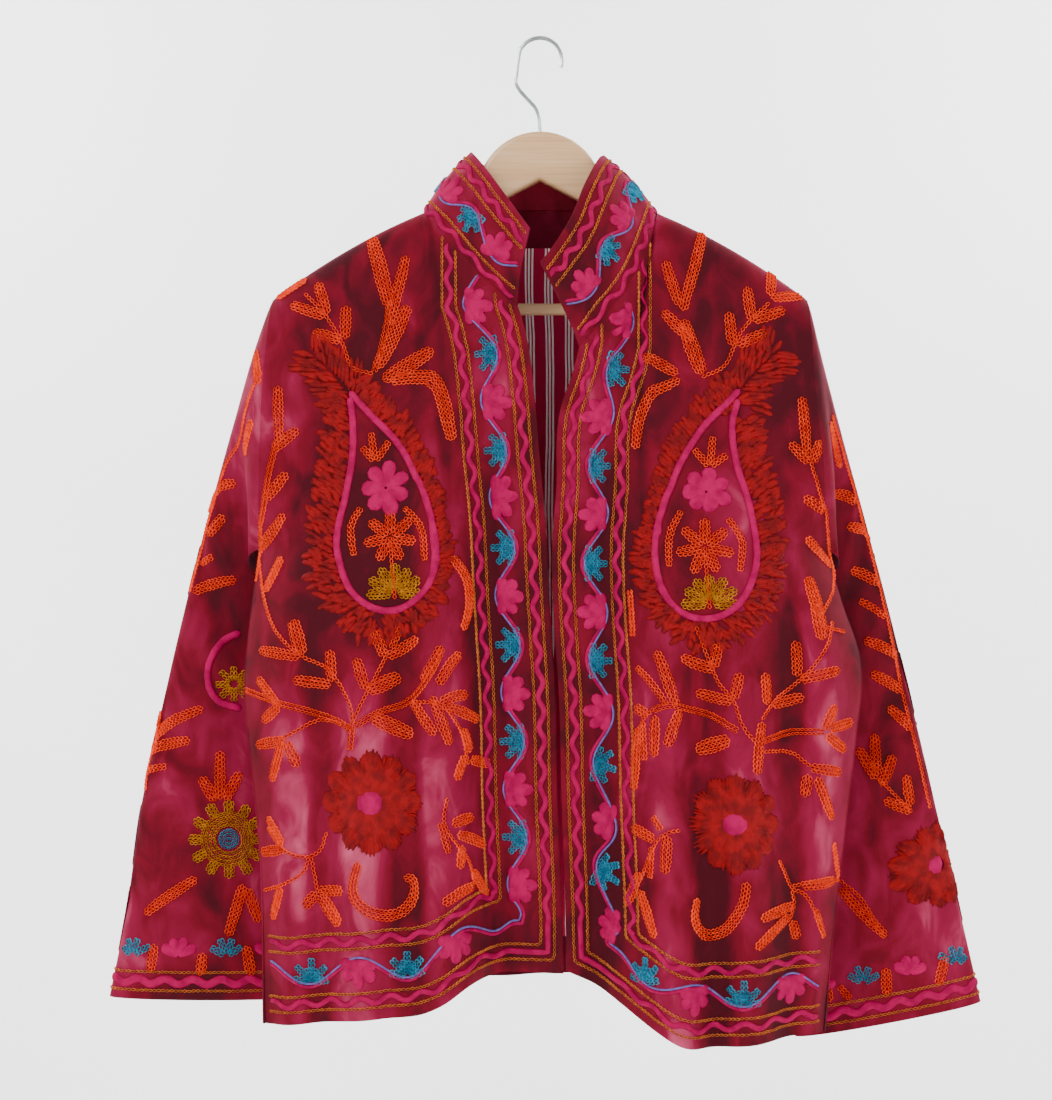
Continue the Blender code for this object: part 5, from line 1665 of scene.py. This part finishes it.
@dataclass
class Wardrobe:
    """The jacket's cloth pieces and what is worked on them."""

    finishes: dict
    spacing: float = 5.0
    seam_dip: float = 0.8
    cloths: dict = field(default_factory=dict)

    def rows(self, spacing: float) -> Array:
        """Rows down a body panel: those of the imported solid, with more between."""
        shares = np.append(np.array(ARMHOLE_ROWS) / SIDE_HEIGHT, 1.0)
        return spread(shares, np.diff(shares) * SIDE_HEIGHT, spacing)

    def dipped(self, grid: Array, inside: Optional[tuple], edges: tuple) -> Cloth:
        """Presses the cloth in a little along its seams.

        Args:
            grid: Points of the cloth.
            inside: Point that its inner side looks at; none for a ring.
            edges: Names of the seamed edges: top, first and last.

        Returns:
            The cloth.
        """
        normals = Cloth(grid, inside).normals
        dip = np.zeros(grid.shape[:2])
        depths = self.seam_dip * np.array(DIP_SHARES)
        if "top" in edges:
            dip[:2] = np.maximum(dip[:2], depths[:, None])
        if "first" in edges:
            dip[:, :2] = np.maximum(dip[:, :2], depths[None])
        if "last" in edges:
            dip[:, -2:] = np.maximum(dip[:, -2:], depths[None, ::-1])
        return Cloth(grid - normals * dip[..., None], inside)

    def front(self, side: int) -> Cloth:
        """Fine grid of a front."""
        neck = between(0, NECK_SHARE, NECK_KNOTS, self.spacing - 0.6)
        shoulder = between(NECK_SHARE, 1, SHOULDER_KNOTS, self.spacing - 0.6)
        across = np.concatenate([neck, shoulder[1:]])
        grid = front_point(across[None], self.rows(self.spacing - 0.5)[:, None], side)
        return self.dipped(grid, BEHIND, ("top", "last"))

    def back(self) -> Cloth:
        """Fine grid of the back."""
        across = np.append(between(0, 1, BACK_KNOTS, self.spacing), [back_share(-1), back_share(1)])
        grid = back_point(np.sort(across)[None], self.rows(self.spacing)[:, None])
        return self.dipped(grid, BEFORE, ("top", "first", "last"))

    def sleeve(self, side: int) -> Cloth:
        """Fine grid of a sleeve."""
        around = np.arange(SLEEVE_COLUMNS) / SLEEVE_COLUMNS
        down = between(0, 1, SLEEVE_KNOTS, self.spacing + 0.6)
        return self.dipped(sleeve_point(around[None], down[:, None], side), None, ("top",))

    def collar(self) -> Cloth:
        """Fine grid of the collar, from its left end round the back to its right end."""
        up = np.linspace(COLLAR_UNDER, 1, COLLAR_ROWS)[:, None]
        at = {name: np.linspace(0, 1, count)[None] for name, count in COLLAR_COLUMNS.items()}
        left = collar_point("left", at["left"], up)
        back = collar_point("back", at["back"][:, 1:-1], up)
        right = collar_point("right", 1 - at["right"], up)
        return self.dipped(np.concatenate([left, back, right], axis=1), NECK_MIDDLE, ("top",))

    def shell(
        self, name: str, cloth: Cloth, fabrics: tuple, thickness: float = WALL, inset: float = 0.0
    ) -> None:
        """Makes a piece's thin wall, its outer fabric also over its edges, and rides it.

        Args:
            name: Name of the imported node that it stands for.
            cloth: Its fine grid.
            fabrics: Finishes of its outside and its inside.
            thickness: Wall in mm.
            inset: How far inside the grid it lies, in mm.
        """
        rows, columns = cloth.grid.shape[:2]
        outer = cloth.grid - inset * cloth.normals
        inner = outer - thickness * cloth.normals
        half = rows * columns
        index = np.arange(half).reshape(rows, columns)
        if cloth.ring:
            index = np.concatenate([index, index[:, :1]], axis=1)
        corners = [index[:-1, :-1], index[1:, :-1], index[1:, 1:], index[:-1, 1:]]
        face = np.stack(corners, -1).reshape(-1, 4)
        if not cloth.turned:
            face = face[:, ::-1]
        walls = [face, face[:, ::-1] + half]
        borders = [index[0], index[-1, ::-1]]
        if not cloth.ring:
            borders += [index[::-1, 0], index[:, -1]]
        for border in borders:
            rim = np.stack([border[:-1], border[1:], border[1:] + half, border[:-1] + half], -1)
            walls.append(rim[:, ::-1] if cloth.turned else rim)
        slots = np.zeros(sum(len(wall) for wall in walls), int)
        slots[len(face) : 2 * len(face)] = 1
        points = np.concatenate([outer.reshape(-1, 3), inner.reshape(-1, 3)])
        piece = joined_mesh(f"{name}_cloth", points, np.concatenate(walls), slots)
        for finish in fabrics:
            piece.data.materials.append(finish)
        # Ridge heights for the velvet's painted highlight on fold ridges and painted shade in fold hollows
        nap_and_painted_fold_light = piece.data.attributes.new("nap_and_painted_fold_light", "FLOAT", "POINT")
        nap_and_painted_fold_light.data.foreach_set("value", np.tile(self.ridges(cloth).ravel(), 2).astype(np.float32))
        piece.data.set_sharp_from_angle(angle=math.radians(SHARP_ANGLE))
        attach(piece, "root")
        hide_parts(name)
        triangles = len(piece.data.polygons) * 2
        LOG.info("%s: %d triangles, area %.4f", name, triangles, self.area(cloth))

    @staticmethod
    def ridges(cloth: Cloth) -> Array:
        """How far each point stands out from the cloth about it, from -1 in a hollow to 1 on a ridge, for
        painted shade and painted highlight.
        """
        flat = cloth.grid
        for _ in range(RIDGE_ROUNDS):
            flat = np.pad(flat, ((0, 0), (1, 1), (0, 0)), "wrap" if cloth.ring else "edge")
            flat = flat[:, :-2] * 0.25 + flat[:, 1:-1] * 0.5 + flat[:, 2:] * 0.25
        out = np.sum((cloth.grid - flat) * cloth.normals, -1)
        if not cloth.ring:
            column = np.arange(out.shape[1])
            out = out * np.minimum(1.0, np.minimum(column, column[::-1]) / RIDGE_FADES)
        return np.clip(out / RIDGE_FULL, -1.0, 1.0)

    @staticmethod
    def area(cloth: Cloth) -> float:
        """Area of the outer grid in square metres."""
        grid = cloth.grid
        if cloth.ring:
            grid = np.concatenate([grid, grid[:, :1]], axis=1)
        one = grid[1:, 1:] - grid[:-1, :-1]
        two = grid[1:, :-1] - grid[:-1, 1:]
        return float(np.linalg.norm(np.cross(one, two), axis=-1).sum() / 2 * 1e-6)

    def build(self) -> None:
        """Builds every shell."""
        velvet = self.finishes["velvet"]
        cotton = self.finishes["cotton"]
        facing = self.finishes["facing"]
        for name, cloth in (
            ("front_left", self.front(-1)),
            ("front_right", self.front(1)),
            ("back", self.back()),
            ("sleeve_left", self.sleeve(-1)),
            ("sleeve_right", self.sleeve(1)),
            ("collar", self.collar()),
        ):
            self.cloths[name] = cloth
            inside = cotton if name.startswith("front") else facing
            self.shell(name, cloth, (velvet, inside), SLEEVE_WALL if cloth.ring else WALL)
        self.build_lining(cotton, facing)

    def build_lining(self, cotton: bpy.types.Material, facing: bpy.types.Material) -> None:
        """Striped lining of the back and the velvet facing above it, on coarser grids."""
        shares = np.array(ARMHOLE_ROWS) / SIDE_HEIGHT
        below = np.linspace(shares[-1], 1, LINING_ROWS_BELOW)[1:-1]
        rows = np.concatenate([shares[LINING_TOP_ROW:], below])
        rows = spread(rows, np.full(len(rows) - 1, LINING_ROW_HEIGHT), LINING_SPACING[1])
        across = between(LINING_MARGIN, 1 - LINING_MARGIN, LINING_KNOTS, LINING_SPACING[0])
        lining = creased(back_point(across[None], rows[:, None]), LINING_CREASES, 1)
        inset = WALL + LINING_GAP
        self.shell("back_lining", Cloth(lining, BEFORE), (cotton, cotton), LINING_WALL, inset)
        rows = np.linspace(shares[1], shares[LINING_TOP_ROW], FACING_GRID[0])
        across = np.linspace(back_share(-1), back_share(1), FACING_GRID[1])
        neck = Cloth(back_point(across[None], rows[:, None]), BEFORE)
        self.shell("neck_facing", neck, (facing, facing), LINING_WALL, inset)


# A leaf that comes out longer than this share of its charted length and this slack lies past an edge
LEAF_STRETCH = 1.5
LEAF_SLACK = 6.0

# Widths in mm above which a charted stem is filled like a leaf, or worked in two rows
STEM_FILLED = 8
STEM_DOUBLE = 4
DOUBLE_APART = 1.6

# Rosette: petals, tufts over them, and the layers of petals as (turn in petals, reach, height)
ROSETTE_PETALS = 12
ROSETTE_TUFTS = 72
ROSETTE_HOLLOW = 0.16
ROSETTE_LAYERS = ((0.0, 1.0, 2.4), (0.5, 0.72, 3.0))

# Daisy: rings of ochre chain as shares of its radius, and of teal chain as shares of its centre
DAISY_RINGS = (0.36, 0.46, 0.56, 0.66)
DAISY_CENTRE = (0.15, 0.5, 0.85)

# Paisley: the outline's cord as width and height, and the tufted band's layers and their distance in mm
OUTLINE_CORD = (6.6, 2.4)
BAND_LAYERS = 5
BAND_STEP = 4.4
PLUME_LAYERS = 3
PLUME_STEP = 5.5

# Paisley on the left sleeve, partly behind the body, in pixels of the photograph
SLEEVE_OUTLINE = ((241, 632), (222, 642), (209, 664), (209, 686), (220, 702), (242, 709))
SLEEVE_FLOWER = (234, 684)

# Height over the hem in mm up to which the border follows it, and over which it then levels out
HEM_HOLDS = 70
HEM_LETS_GO = 200

# Border of a front: how far it ends before the side, and how round it turns the corner
BORDER_SHORT = 7.0
CORNER_ROUNDNESS = 60.0

# Middle of the back, in pixels: its line, rosettes, their size in mm, pairs of leaves and stems
MIDDLE = 540
MIDDLE_ROSETTES = (330, 560)
MIDDLE_ROSETTE = (40.0, 12.0)
MIDDLE_LEAVES = (430, 470, 650, 690, 730)
MIDDLE_STEMS = ((395, 500), (620, 790))
MIDDLE_LEAF = (4, 38, 26)
BACK_HEM_HALF = 222.0

# Cuff: flowers round it, their height over the edge and their reach
CUFF_FLOWERS = 8
CUFF_FLOWER_AT = 38.0
CUFF_FLOWER_REACH = 17.0

# Collar: height that its border is charted on, margin at its ends, first flower, and spaces between pink ones
COLLAR_HEIGHT = 64.0
COLLAR_END = 3.0
COLLAR_FIRST = 24.0
COLLAR_SPACES = 6


class Embroidery:
    """Works the embroidery on the wardrobe's cloths."""

    def __init__(self, wardrobe: Wardrobe) -> None:
        """Takes the cloths and finishes of a wardrobe."""
        self.wardrobe = wardrobe
        self.triangles = 0

    def finish(self, name: str, beds: Beds) -> None:
        """Makes the meshes worked on a piece, and rides them."""
        for piece in beds.make(name, self.wardrobe.finishes):
            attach(piece, "root")
            count = len(piece.data.polygons) * 2
            self.triangles += count
            LOG.info("%s: %d triangles", piece.name, count)

    def work_chart(self, needle: Needle, chart: Chart) -> None:
        """Works everything on a chart.

        Args:
            needle: Needle on the cloth.
            chart: The chart.
        """
        for leaf in chart.leaves:
            line = needle.curve(needle.at([(leaf.x0, leaf.y0), (leaf.x1, leaf.y1)]))
            charted = math.hypot(leaf.x1 - leaf.x0, leaf.y1 - leaf.y0) * PHOTO_SCALE
            if needle.length(line) < LEAF_STRETCH * charted + LEAF_SLACK:
                needle.leaf(line, leaf.width)
        for sprig in chart.sprigs:
            line = needle.curve(needle.at(sprig.line))
            if sprig.width > STEM_FILLED:
                needle.leaf(line, sprig.width)
            elif sprig.width > STEM_DOUBLE:
                for offset in (-DOUBLE_APART, DOUBLE_APART):
                    needle.chain(needle.beside(line, offset), Yarn.ORANGE, 3.4, 3.0)
            else:
                needle.chain(line, Yarn.ORANGE)
        for x, y, radius, centre in chart.rosettes:
            self.rosette(needle, needle.at([(x, y)])[0], radius * PHOTO_SCALE, centre * PHOTO_SCALE)
        for x, y, radius, centre in chart.daisies:
            self.daisy(needle, needle.at([(x, y)])[0], radius * PHOTO_SCALE, centre * PHOTO_SCALE)
        if chart.paisley:
            self.paisley(needle, chart.paisley)

    def rosette(self, needle: Needle, centre: Array, radius: float, middle: float) -> None:
        """Big flower of tufted red petals with a pink felt centre."""
        places = np.repeat(centre[None], ROSETTE_PETALS, 0)
        for turn, reach, height in ROSETTE_LAYERS:
            angles = (np.arange(ROSETTE_PETALS) + turn) * math.tau / ROSETTE_PETALS
            ways = needle.ways(centre, angles) * radius
            starts = needle.cloth.moved(places, ways * ROSETTE_HOLLOW)
            needle.lobes(starts, ways * (reach - ROSETTE_HOLLOW), radius * 0.5, height, Yarn.RED)
        random = needle.chance.random
        angles = np.arange(ROSETTE_TUFTS) * math.tau / ROSETTE_TUFTS + 0.04 * random(ROSETTE_TUFTS)
        ways = needle.ways(centre, angles) * radius
        begin = 0.45 + 0.3 * random((ROSETTE_TUFTS, 1))
        starts = needle.cloth.moved(np.repeat(centre[None], ROSETTE_TUFTS, 0), ways * begin)
        scallop = 0.86 + 0.14 * np.cos(angles * ROSETTE_PETALS)[:, None]
        needle.tufts(starts, ways * (1.06 - begin) * scallop, 3.6, 2.8)
        needle.disc(centre, middle, Yarn.PINK, 3.6)

    def daisy(self, needle: Needle, centre: Array, radius: float, middle: float) -> None:
        """Ochre flower of twelve looped petals, filled in to a teal centre."""
        needle.petals(centre, radius, 12, 9.0, Yarn.OCHRE, hollow=0.62)
        for share in DAISY_RINGS:
            self.coil(needle, centre, radius * share, Yarn.OCHRE)
        for share in DAISY_CENTRE:
            self.coil(needle, centre, middle * share, Yarn.TEAL)

    def coil(self, needle: Needle, centre: Array, radius: float, yarn: Yarn) -> None:
        """Ring of chain stitch round a centre."""
        angles = np.linspace(0, math.tau, 25)
        places = np.repeat(centre[None], len(angles), 0)
        needle.chain(needle.cloth.moved(places, radius * needle.ways(centre, angles)), yarn, 3.0, 3.4)

    def paisley(self, needle: Needle, charted: Paisley) -> None:
        """Paisley: tufted band first, then the pink outline and what it holds."""
        outline = needle.curve(needle.at(charted.outline), 1.5)
        self.tufted_band(needle, outline, needle.at([charted.plume])[0])
        needle.cord(outline, Yarn.PINK, *OUTLINE_CORD)
        base, *tips = charted.sprig
        for tip in tips:
            needle.leaf(needle.curve(needle.at([base, tip])), 7.0)
        for arm in charted.arms:
            needle.leaf(needle.curve(needle.at(arm)), 8.0)
        for (x, y, radius), yarn, width, turn, fan, hollow in (
            (charted.felt_flower, Yarn.PINK, 14.0, 10.0, 360.0, 0.05),
            (charted.wool_flower, Yarn.ORANGE, 8.8, 0.0, 360.0, 0.1),
            (charted.half_flower, Yarn.OCHRE, 9.0, 0.0, 190.0, 0.1),
        ):
            centre = needle.at([(x, y - 6 if fan < 360 else y)])[0]
            needle.petals(centre, radius * PHOTO_SCALE, 7, width, yarn, turn, fan, hollow)
        stem = needle.at([charted.half_flower[:2], charted.wool_flower[:2]])
        needle.chain(needle.curve(stem), Yarn.ORANGE)

    def tufted_band(self, needle: Needle, outline: Array, plume: Array) -> None:
        """Feathered red band round a paisley, with its tuft at the shoulder side.

        Args:
            needle: Needle on the cloth.
            outline: Places along the paisley's outline.
            plume: Place that the band's upper feathers reach.
        """
        line = needle.even(outline, 3.6)
        points, ahead, across, _ = needle.frame(line)
        middle = points.mean(axis=0)
        outward = across * np.sign(np.sum(across * (points - middle), -1, keepdims=True))
        up = np.array([0.0, 0.0, 1.0])
        toward_edge = np.clip(-outward[:, :1] * np.sign(middle[0]), 0, 1)
        slim = 1.0 - 0.5 * toward_edge
        for layer in range(BAND_LAYERS):
            jitter, turn, reach = needle.chance.random((3, len(line), 1)) - 0.5
            out = outward * (1.0 + BAND_STEP * layer + 6.0 * jitter)
            starts = needle.cloth.moved(line, (out + ahead * 3.0 * turn) * slim)
            lean = unit(outward + up * 0.5 + 1.1 * ahead * turn)
            needle.tufts(starts, lean * (12.0 + 7.0 * reach) * (0.5 + 0.5 * slim), 6.4, 1.7)
        tip = needle.even(np.stack([outline[0], plume]), 4.0)
        _, ahead, across, _ = needle.frame(tip)
        for side in (-1, 1):
            for layer in range(PLUME_LAYERS):
                starts = needle.cloth.moved(tip, side * across * (1.0 + PLUME_STEP * layer))
                turn = needle.chance.random((len(tip), 1)) - 0.5
                lean = unit(ahead + side * (0.7 + turn) * across)
                needle.tufts(starts, lean * (14.0 + 8.0 * turn), 6.0, 1.8)

    def fronts(self) -> None:
        """Both fronts: border, then charted motifs."""
        for side, name, chart in ((-1, "front_left", LEFT_CHART), (1, "front_right", RIGHT_CHART)):
            beds = Beds()
            needle = Needle(self.wardrobe.cloths[name], beds, 11 + side)
            self.work_chart(needle, chart)
            self.front_border(needle, side)
            self.finish(name, beds)

    def front_border(self, needle: Needle, side: int) -> None:
        """Border down the centre edge, round the lower corner and along the hem."""
        edge = CENTRE_EDGE[side]
        hem = FRONT_HEM[side]
        neck = FRONT_NECK[side]
        corner_z = edge[-1][0]
        tall = BORDER_TOP_Z - corner_z

        def plan(run: Array, offset: Array) -> Array:
            """Places at a distance along from the top of the centre edge, and an offset from the edges."""
            past = run - tall
            low = offset * HEM_WIDENS + HEM_MARGIN
            e = self.larger(offset, past)
            h = self.larger(low, -past)
            z = corner_z + h
            for _ in range(3):
                x = edge_value(edge, z, 1) + side * e
                share = step((h - HEM_HOLDS) / HEM_LETS_GO)
                z = self.hem_z(hem, x) + h + (corner_z - self.hem_z(hem, x)) * share
                z = np.minimum(z, self.hem_z(neck, x) - NECK_MARGIN)
            return self.by_plan(needle, x, z)

        def begins(offset: float) -> float:
            """Distance along at which a line comes out from under the neckline."""
            z = BORDER_TOP_Z
            for _ in range(4):
                z = float(self.hem_z(neck, edge_value(edge, z, 1) + side * offset)) - NECK_START
            return BORDER_TOP_Z - z

        length = tall + abs(hem[-1][1] - hem[0][1]) - BORDER_SHORT
        first, lines, waves = FRONT_BORDERS[side]
        Border(needle, plan, length, lines, waves, first=first, corner=tall, begins=begins).work()

    @staticmethod
    def larger(one: Array, other: Array) -> Array:
        """The larger of two values, with a rounded change from one to the other."""
        return (one + other + np.sqrt((one - other) ** 2 + CORNER_ROUNDNESS)) / 2

    @staticmethod
    def hem_z(hem: tuple, x: Array) -> Array:
        """Height of a hem table at x."""
        rows = sorted(hem, key=lambda row: row[1])
        return smooth(x, [row[1] for row in rows], [row[3] for row in rows])

    @staticmethod
    def by_plan(needle: Needle, x: Array, z: Array) -> Array:
        """Places on the cloth of points given by their x and z, found by way of the photograph."""
        y = np.full_like(x, 45.0 if needle.away else -45.0)
        for _ in range(2):
            places = needle.at(in_photo(x, y, z))
            y = needle.cloth.read(needle.cloth.grid, places)[..., 1]
        return places

    def back(self) -> None:
        """Back: the fronts' motifs again, rosettes and leafy stems between them, and the hem's border."""
        beds = Beds()
        needle = Needle(self.wardrobe.cloths["back"], beds, 29, away=True)
        for chart in (LEFT_CHART, RIGHT_CHART):
            self.work_chart(needle, chart)
        for y in MIDDLE_ROSETTES:
            self.rosette(needle, needle.at([(MIDDLE, y)])[0], *MIDDLE_ROSETTE)
        near, far, rise = MIDDLE_LEAF
        for side in (-1, 1):
            for y in MIDDLE_LEAVES:
                line = needle.at([(MIDDLE + side * near, y), (MIDDLE + side * far, y - rise)])
                needle.leaf(needle.curve(line), 12.0)
        for first, second in MIDDLE_STEMS:
            needle.chain(needle.curve(needle.at([(MIDDLE, first), (MIDDLE, second)])), Yarn.ORANGE)

        def plan(run: Array, offset: Array) -> Array:
            """Places at a distance along from the left side, and an offset over the hem."""
            x = run - BACK_HEM_HALF
            z = self.hem_z(BACK_HEM, x) + offset * HEM_WIDENS + HEM_MARGIN
            return self.by_plan(needle, x, z)

        Border(needle, plan, 2 * BACK_HEM_HALF + 4.0, first=22.0).work()
        self.finish("back", beds)

    def sleeves(self) -> None:
        """Both sleeves: charted motifs, again on the back half, and the cuff's lines and flowers."""
        charts = ((-1, "sleeve_left", LEFT_SLEEVE_CHART), (1, "sleeve_right", RIGHT_SLEEVE_CHART))
        for side, name, chart in charts:
            beds = Beds()
            cloth = self.wardrobe.cloths[name]
            for away in (False, True):
                needle = Needle(cloth, beds, 41 + side + 2 * away, away)
                self.work_chart(needle, chart)
            needle = Needle(cloth, beds, 53 + side)
            if side < 0:
                self.hidden_paisley(needle)
            self.cuff(needle)
            self.finish(name, beds)

    def hidden_paisley(self, needle: Needle) -> None:
        """Round paisley on the left sleeve, partly behind the body."""
        line = needle.curve(needle.at(SLEEVE_OUTLINE), 1.5)
        needle.cord(line, Yarn.PINK, *OUTLINE_CORD)
        needle.petals(needle.at([SLEEVE_FLOWER])[0], 17.0, 8, 6.8, Yarn.OCHRE, hollow=0.1)

    def cuff(self, needle: Needle) -> None:
        """Lines, wave and row of small flowers round a cuff."""
        grid = needle.cloth.grid
        rows, columns = grid.shape[:2]
        steps = np.linalg.norm(np.diff(grid, axis=0), axis=-1)
        height = np.concatenate([np.cumsum(steps[::-1], axis=0)[::-1], np.zeros((1, columns))])
        run_at = distances(np.concatenate([grid[-1], grid[-1, :1]]))

        def plan(run: Array, offset: Array) -> Array:
            """Places at a distance round the cuff, and an offset up from its edge."""
            column = np.interp(run, run_at, np.arange(columns + 1))
            whole = np.round(column).astype(int) % columns
            row = [np.interp(-d, -height[:, c], np.arange(rows)) for d, c in zip(offset, whole)]
            return np.stack([np.array(row), column], -1)

        length = float(run_at[-1]) - 1.0
        Border(needle, plan, length, lines=(8.0, 24.0), waves=(16.0,), swing=0.0, wave_width=7.6).work()
        for index in range(CUFF_FLOWERS):
            at = (index + 0.5) * run_at[-1] / CUFF_FLOWERS
            place = plan(np.array([at]), np.array([CUFF_FLOWER_AT]))[0]
            yarn, width = (Yarn.PINK, 10.0) if index % 2 else (Yarn.TEAL, 7.2)
            needle.petals(place, CUFF_FLOWER_REACH, 4, width, yarn, fan=120.0, hollow=0.04)

    def collar(self) -> None:
        """Collar: lines at both edges, waves, and the vine with half flowers."""
        beds = Beds()
        cloth = self.wardrobe.cloths["collar"]
        needle = Needle(cloth, beds, 71)
        rows, columns = cloth.grid.shape[:2]
        run_at = distances(cloth.grid[rows // 2])
        steps = np.linalg.norm(np.diff(cloth.grid, axis=0), axis=-1)
        height = np.concatenate([np.zeros((1, columns)), np.cumsum(steps, axis=0)])

        def plan(run: Array, offset: Array) -> Array:
            """Places at a distance from the left end, and an offset down from the top edge."""
            column = np.interp(run + COLLAR_END, run_at, np.arange(columns))
            whole = np.clip(np.round(column).astype(int), 0, columns - 1)
            share = 1 - offset / COLLAR_HEIGHT
            row = [np.interp(s * height[-1, c], height[:, c], np.arange(rows)) for s, c in zip(share, whole)]
            return np.stack([np.array(row), column], -1)

        length = float(run_at[-1]) - 2 * COLLAR_END
        every = (length - 2 * COLLAR_FIRST) / COLLAR_SPACES
        Border(
            needle, plan, length, lines=(6.5, 19.0, 52.0), waves=(12.8, 58.5),
            vine=35.5, swing=7.5, first=COLLAR_FIRST, every=every, size=0.9,
        ).work()
        self.finish("collar", beds)

    def work(self) -> None:
        """Works all the pieces."""
        self.fronts()
        self.back()
        self.sleeves()
        self.collar()
        LOG.info("embroidery: %d triangles", self.triangles)


# Paper in mm: its front edge, floor, half width, top, and the radius of its bend
PAPER_FRONT = -3200.0
PAPER_FLOOR = -1150.0
PAPER_HALF_WIDTH = 4200.0
PAPER_TOP = 2600.0
PAPER_BEND = 900.0


class Studio:
    """Pale floor and backdrop, soft lights, and the photograph's camera."""

    def build(self) -> None:
        """Builds the studio."""
        self.backdrop()
        self.lights()
        self.camera()

    def backdrop(self) -> None:
        """Seamless paper: floor and wall in one sheet with a wide bend."""
        profile = [(PAPER_FRONT, PAPER_FLOOR), (PAPER_BEND, PAPER_FLOOR)]
        for turn in range(10, 91, 10):
            angle = math.radians(turn)
            y = PAPER_BEND + PAPER_BEND * math.sin(angle)
            z = PAPER_FLOOR + PAPER_BEND - PAPER_BEND * math.cos(angle)
            profile.append((y, z))
        profile.append((2 * PAPER_BEND, PAPER_TOP))
        sides = (-PAPER_HALF_WIDTH, PAPER_HALF_WIDTH)
        points = np.array([(x, y, z) for y, z in profile for x in sides])
        quads = np.array([(2 * i, 2 * i + 1, 2 * i + 3, 2 * i + 2) for i in range(len(profile) - 1)])
        paper = joined_mesh("studio_backdrop", points, quads)
        paper.data.materials.append(Paper().make())

    def lamp(self, name: str, place: tuple, size: float, power: float, target: tuple = (0, 0, -0.45)) -> None:
        """Square soft light at a place, turned to a target: the middle of the jacket unless given."""
        light = bpy.data.lights.new(name, "AREA")
        light.shape = "SQUARE"
        light.size = size
        light.energy = power
        lamp = bpy.data.objects.new(name, light)
        bpy.context.collection.objects.link(lamp)
        lamp.location = place
        lamp.rotation_mode = "QUATERNION"
        lamp.rotation_quaternion = (Vector(target) - Vector(place)).to_track_quat("-Z", "Y")

    def lights(self) -> None:
        """Key from the upper left, weaker fill from the right, light on the paper, and a white sky."""
        self.lamp("key", (-1.5, -2.0, 1.0), 1.2, 58.0)
        self.lamp("fill", (1.9, -1.7, -0.1), 1.4, 26.0)
        self.lamp("rim", (0.9, 1.0, 1.3), 0.8, 9.0)
        self.lamp("paper_left", (-1.3, 0.7, 0.6), 0.9, 52.0, (-0.6, 1.8, -0.3))
        self.lamp("paper_right", (1.3, 0.7, 0.6), 0.9, 52.0, (0.6, 1.8, -0.3))
        world = bpy.data.worlds.new("studio_sky")
        world.use_nodes = True
        world.node_tree.nodes["Background"].inputs["Color"].default_value = (1.0, 1.0, 1.0, 1.0)
        world.node_tree.nodes["Background"].inputs["Strength"].default_value = 1.0
        bpy.context.scene.world = world

    def camera(self) -> None:
        """Camera straight in front, as far off and as wide as the photograph's."""
        lens = bpy.data.cameras.new("camera")
        lens.sensor_fit = "VERTICAL"
        lens.sensor_height = 24.0
        lens.lens = 24.0 * -EYE[1] / FRAME_HEIGHT
        lens.clip_start = 0.05
        lens.clip_end = 50.0
        camera = bpy.data.objects.new("camera", lens)
        bpy.context.collection.objects.link(camera)
        camera.location = tuple(value * MM for value in EYE)
        camera.rotation_euler = (math.pi / 2, 0.0, 0.0)
        bpy.context.scene.camera = camera


class Hanger:
    """Hanger's own finishes."""

    def __init__(self, frame: dict) -> None:
        """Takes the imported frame."""
        self.frame = frame

    def dress(self) -> None:
        """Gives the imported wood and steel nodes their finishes."""
        wood = Beech().make()
        steel = WireSteel().make()
        for name, finish in (("hanger_body", wood), ("hanger_bar", wood), ("hook", steel)):
            node = self.frame["nodes"][name]
            node.data.materials.clear()
            node.data.materials.append(finish)
            LOG.info("%s dressed", name)


def finishes() -> dict:
    """All the cloth and yarn finishes by name."""
    return {
        "velvet": Velvet().make(),
        "facing": Velvet("velvet_facing", "#300010", "#540018", "#6c0a28", "#84203c", 0.25).make(),
        "cotton": StripedCotton().make(),
        Yarn.ORANGE: Wool("orange_crewel_wool", "#ff4410", "#e63006").make(),
        Yarn.PINK: Wool("hot_pink_felted_wool", "#a4004a", "#8c003c", 9.0, 0.5, 0.0, 0.08).make(),
        Yarn.TEAL: Wool("teal_crewel_wool", "#2793b4", "#17708f").make(),
        Yarn.OCHRE: Wool("ochre_crewel_wool", "#d8900f", "#b06a08").make(),
        Yarn.RED: Wool("red_tufted_wool", "#860008", "#640006", 9.0, 0.6).make(),
        Yarn.WAVE: Wool("magenta_felted_wool", "#9c0044", "#840038", 9.0, 0.5, 0.0, 0.08).make(),
        Yarn.LINE: Wool("gold_orange_border_wool", "#d2742a", "#a8502a", 4.0).make(),
        Yarn.GREY: Wool("lavender_grey_thread", "#6a5a9c", "#54467e", 4.0).make(),
    }


def main() -> None:
    """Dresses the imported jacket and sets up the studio."""
    logging.basicConfig(level=logging.INFO, format="%(message)s")
    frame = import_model()
    Hanger(frame).dress()
    wardrobe = Wardrobe(finishes())
    wardrobe.build()
    Embroidery(wardrobe).work()
    Studio().build()


if __name__ == "__main__":
    main()
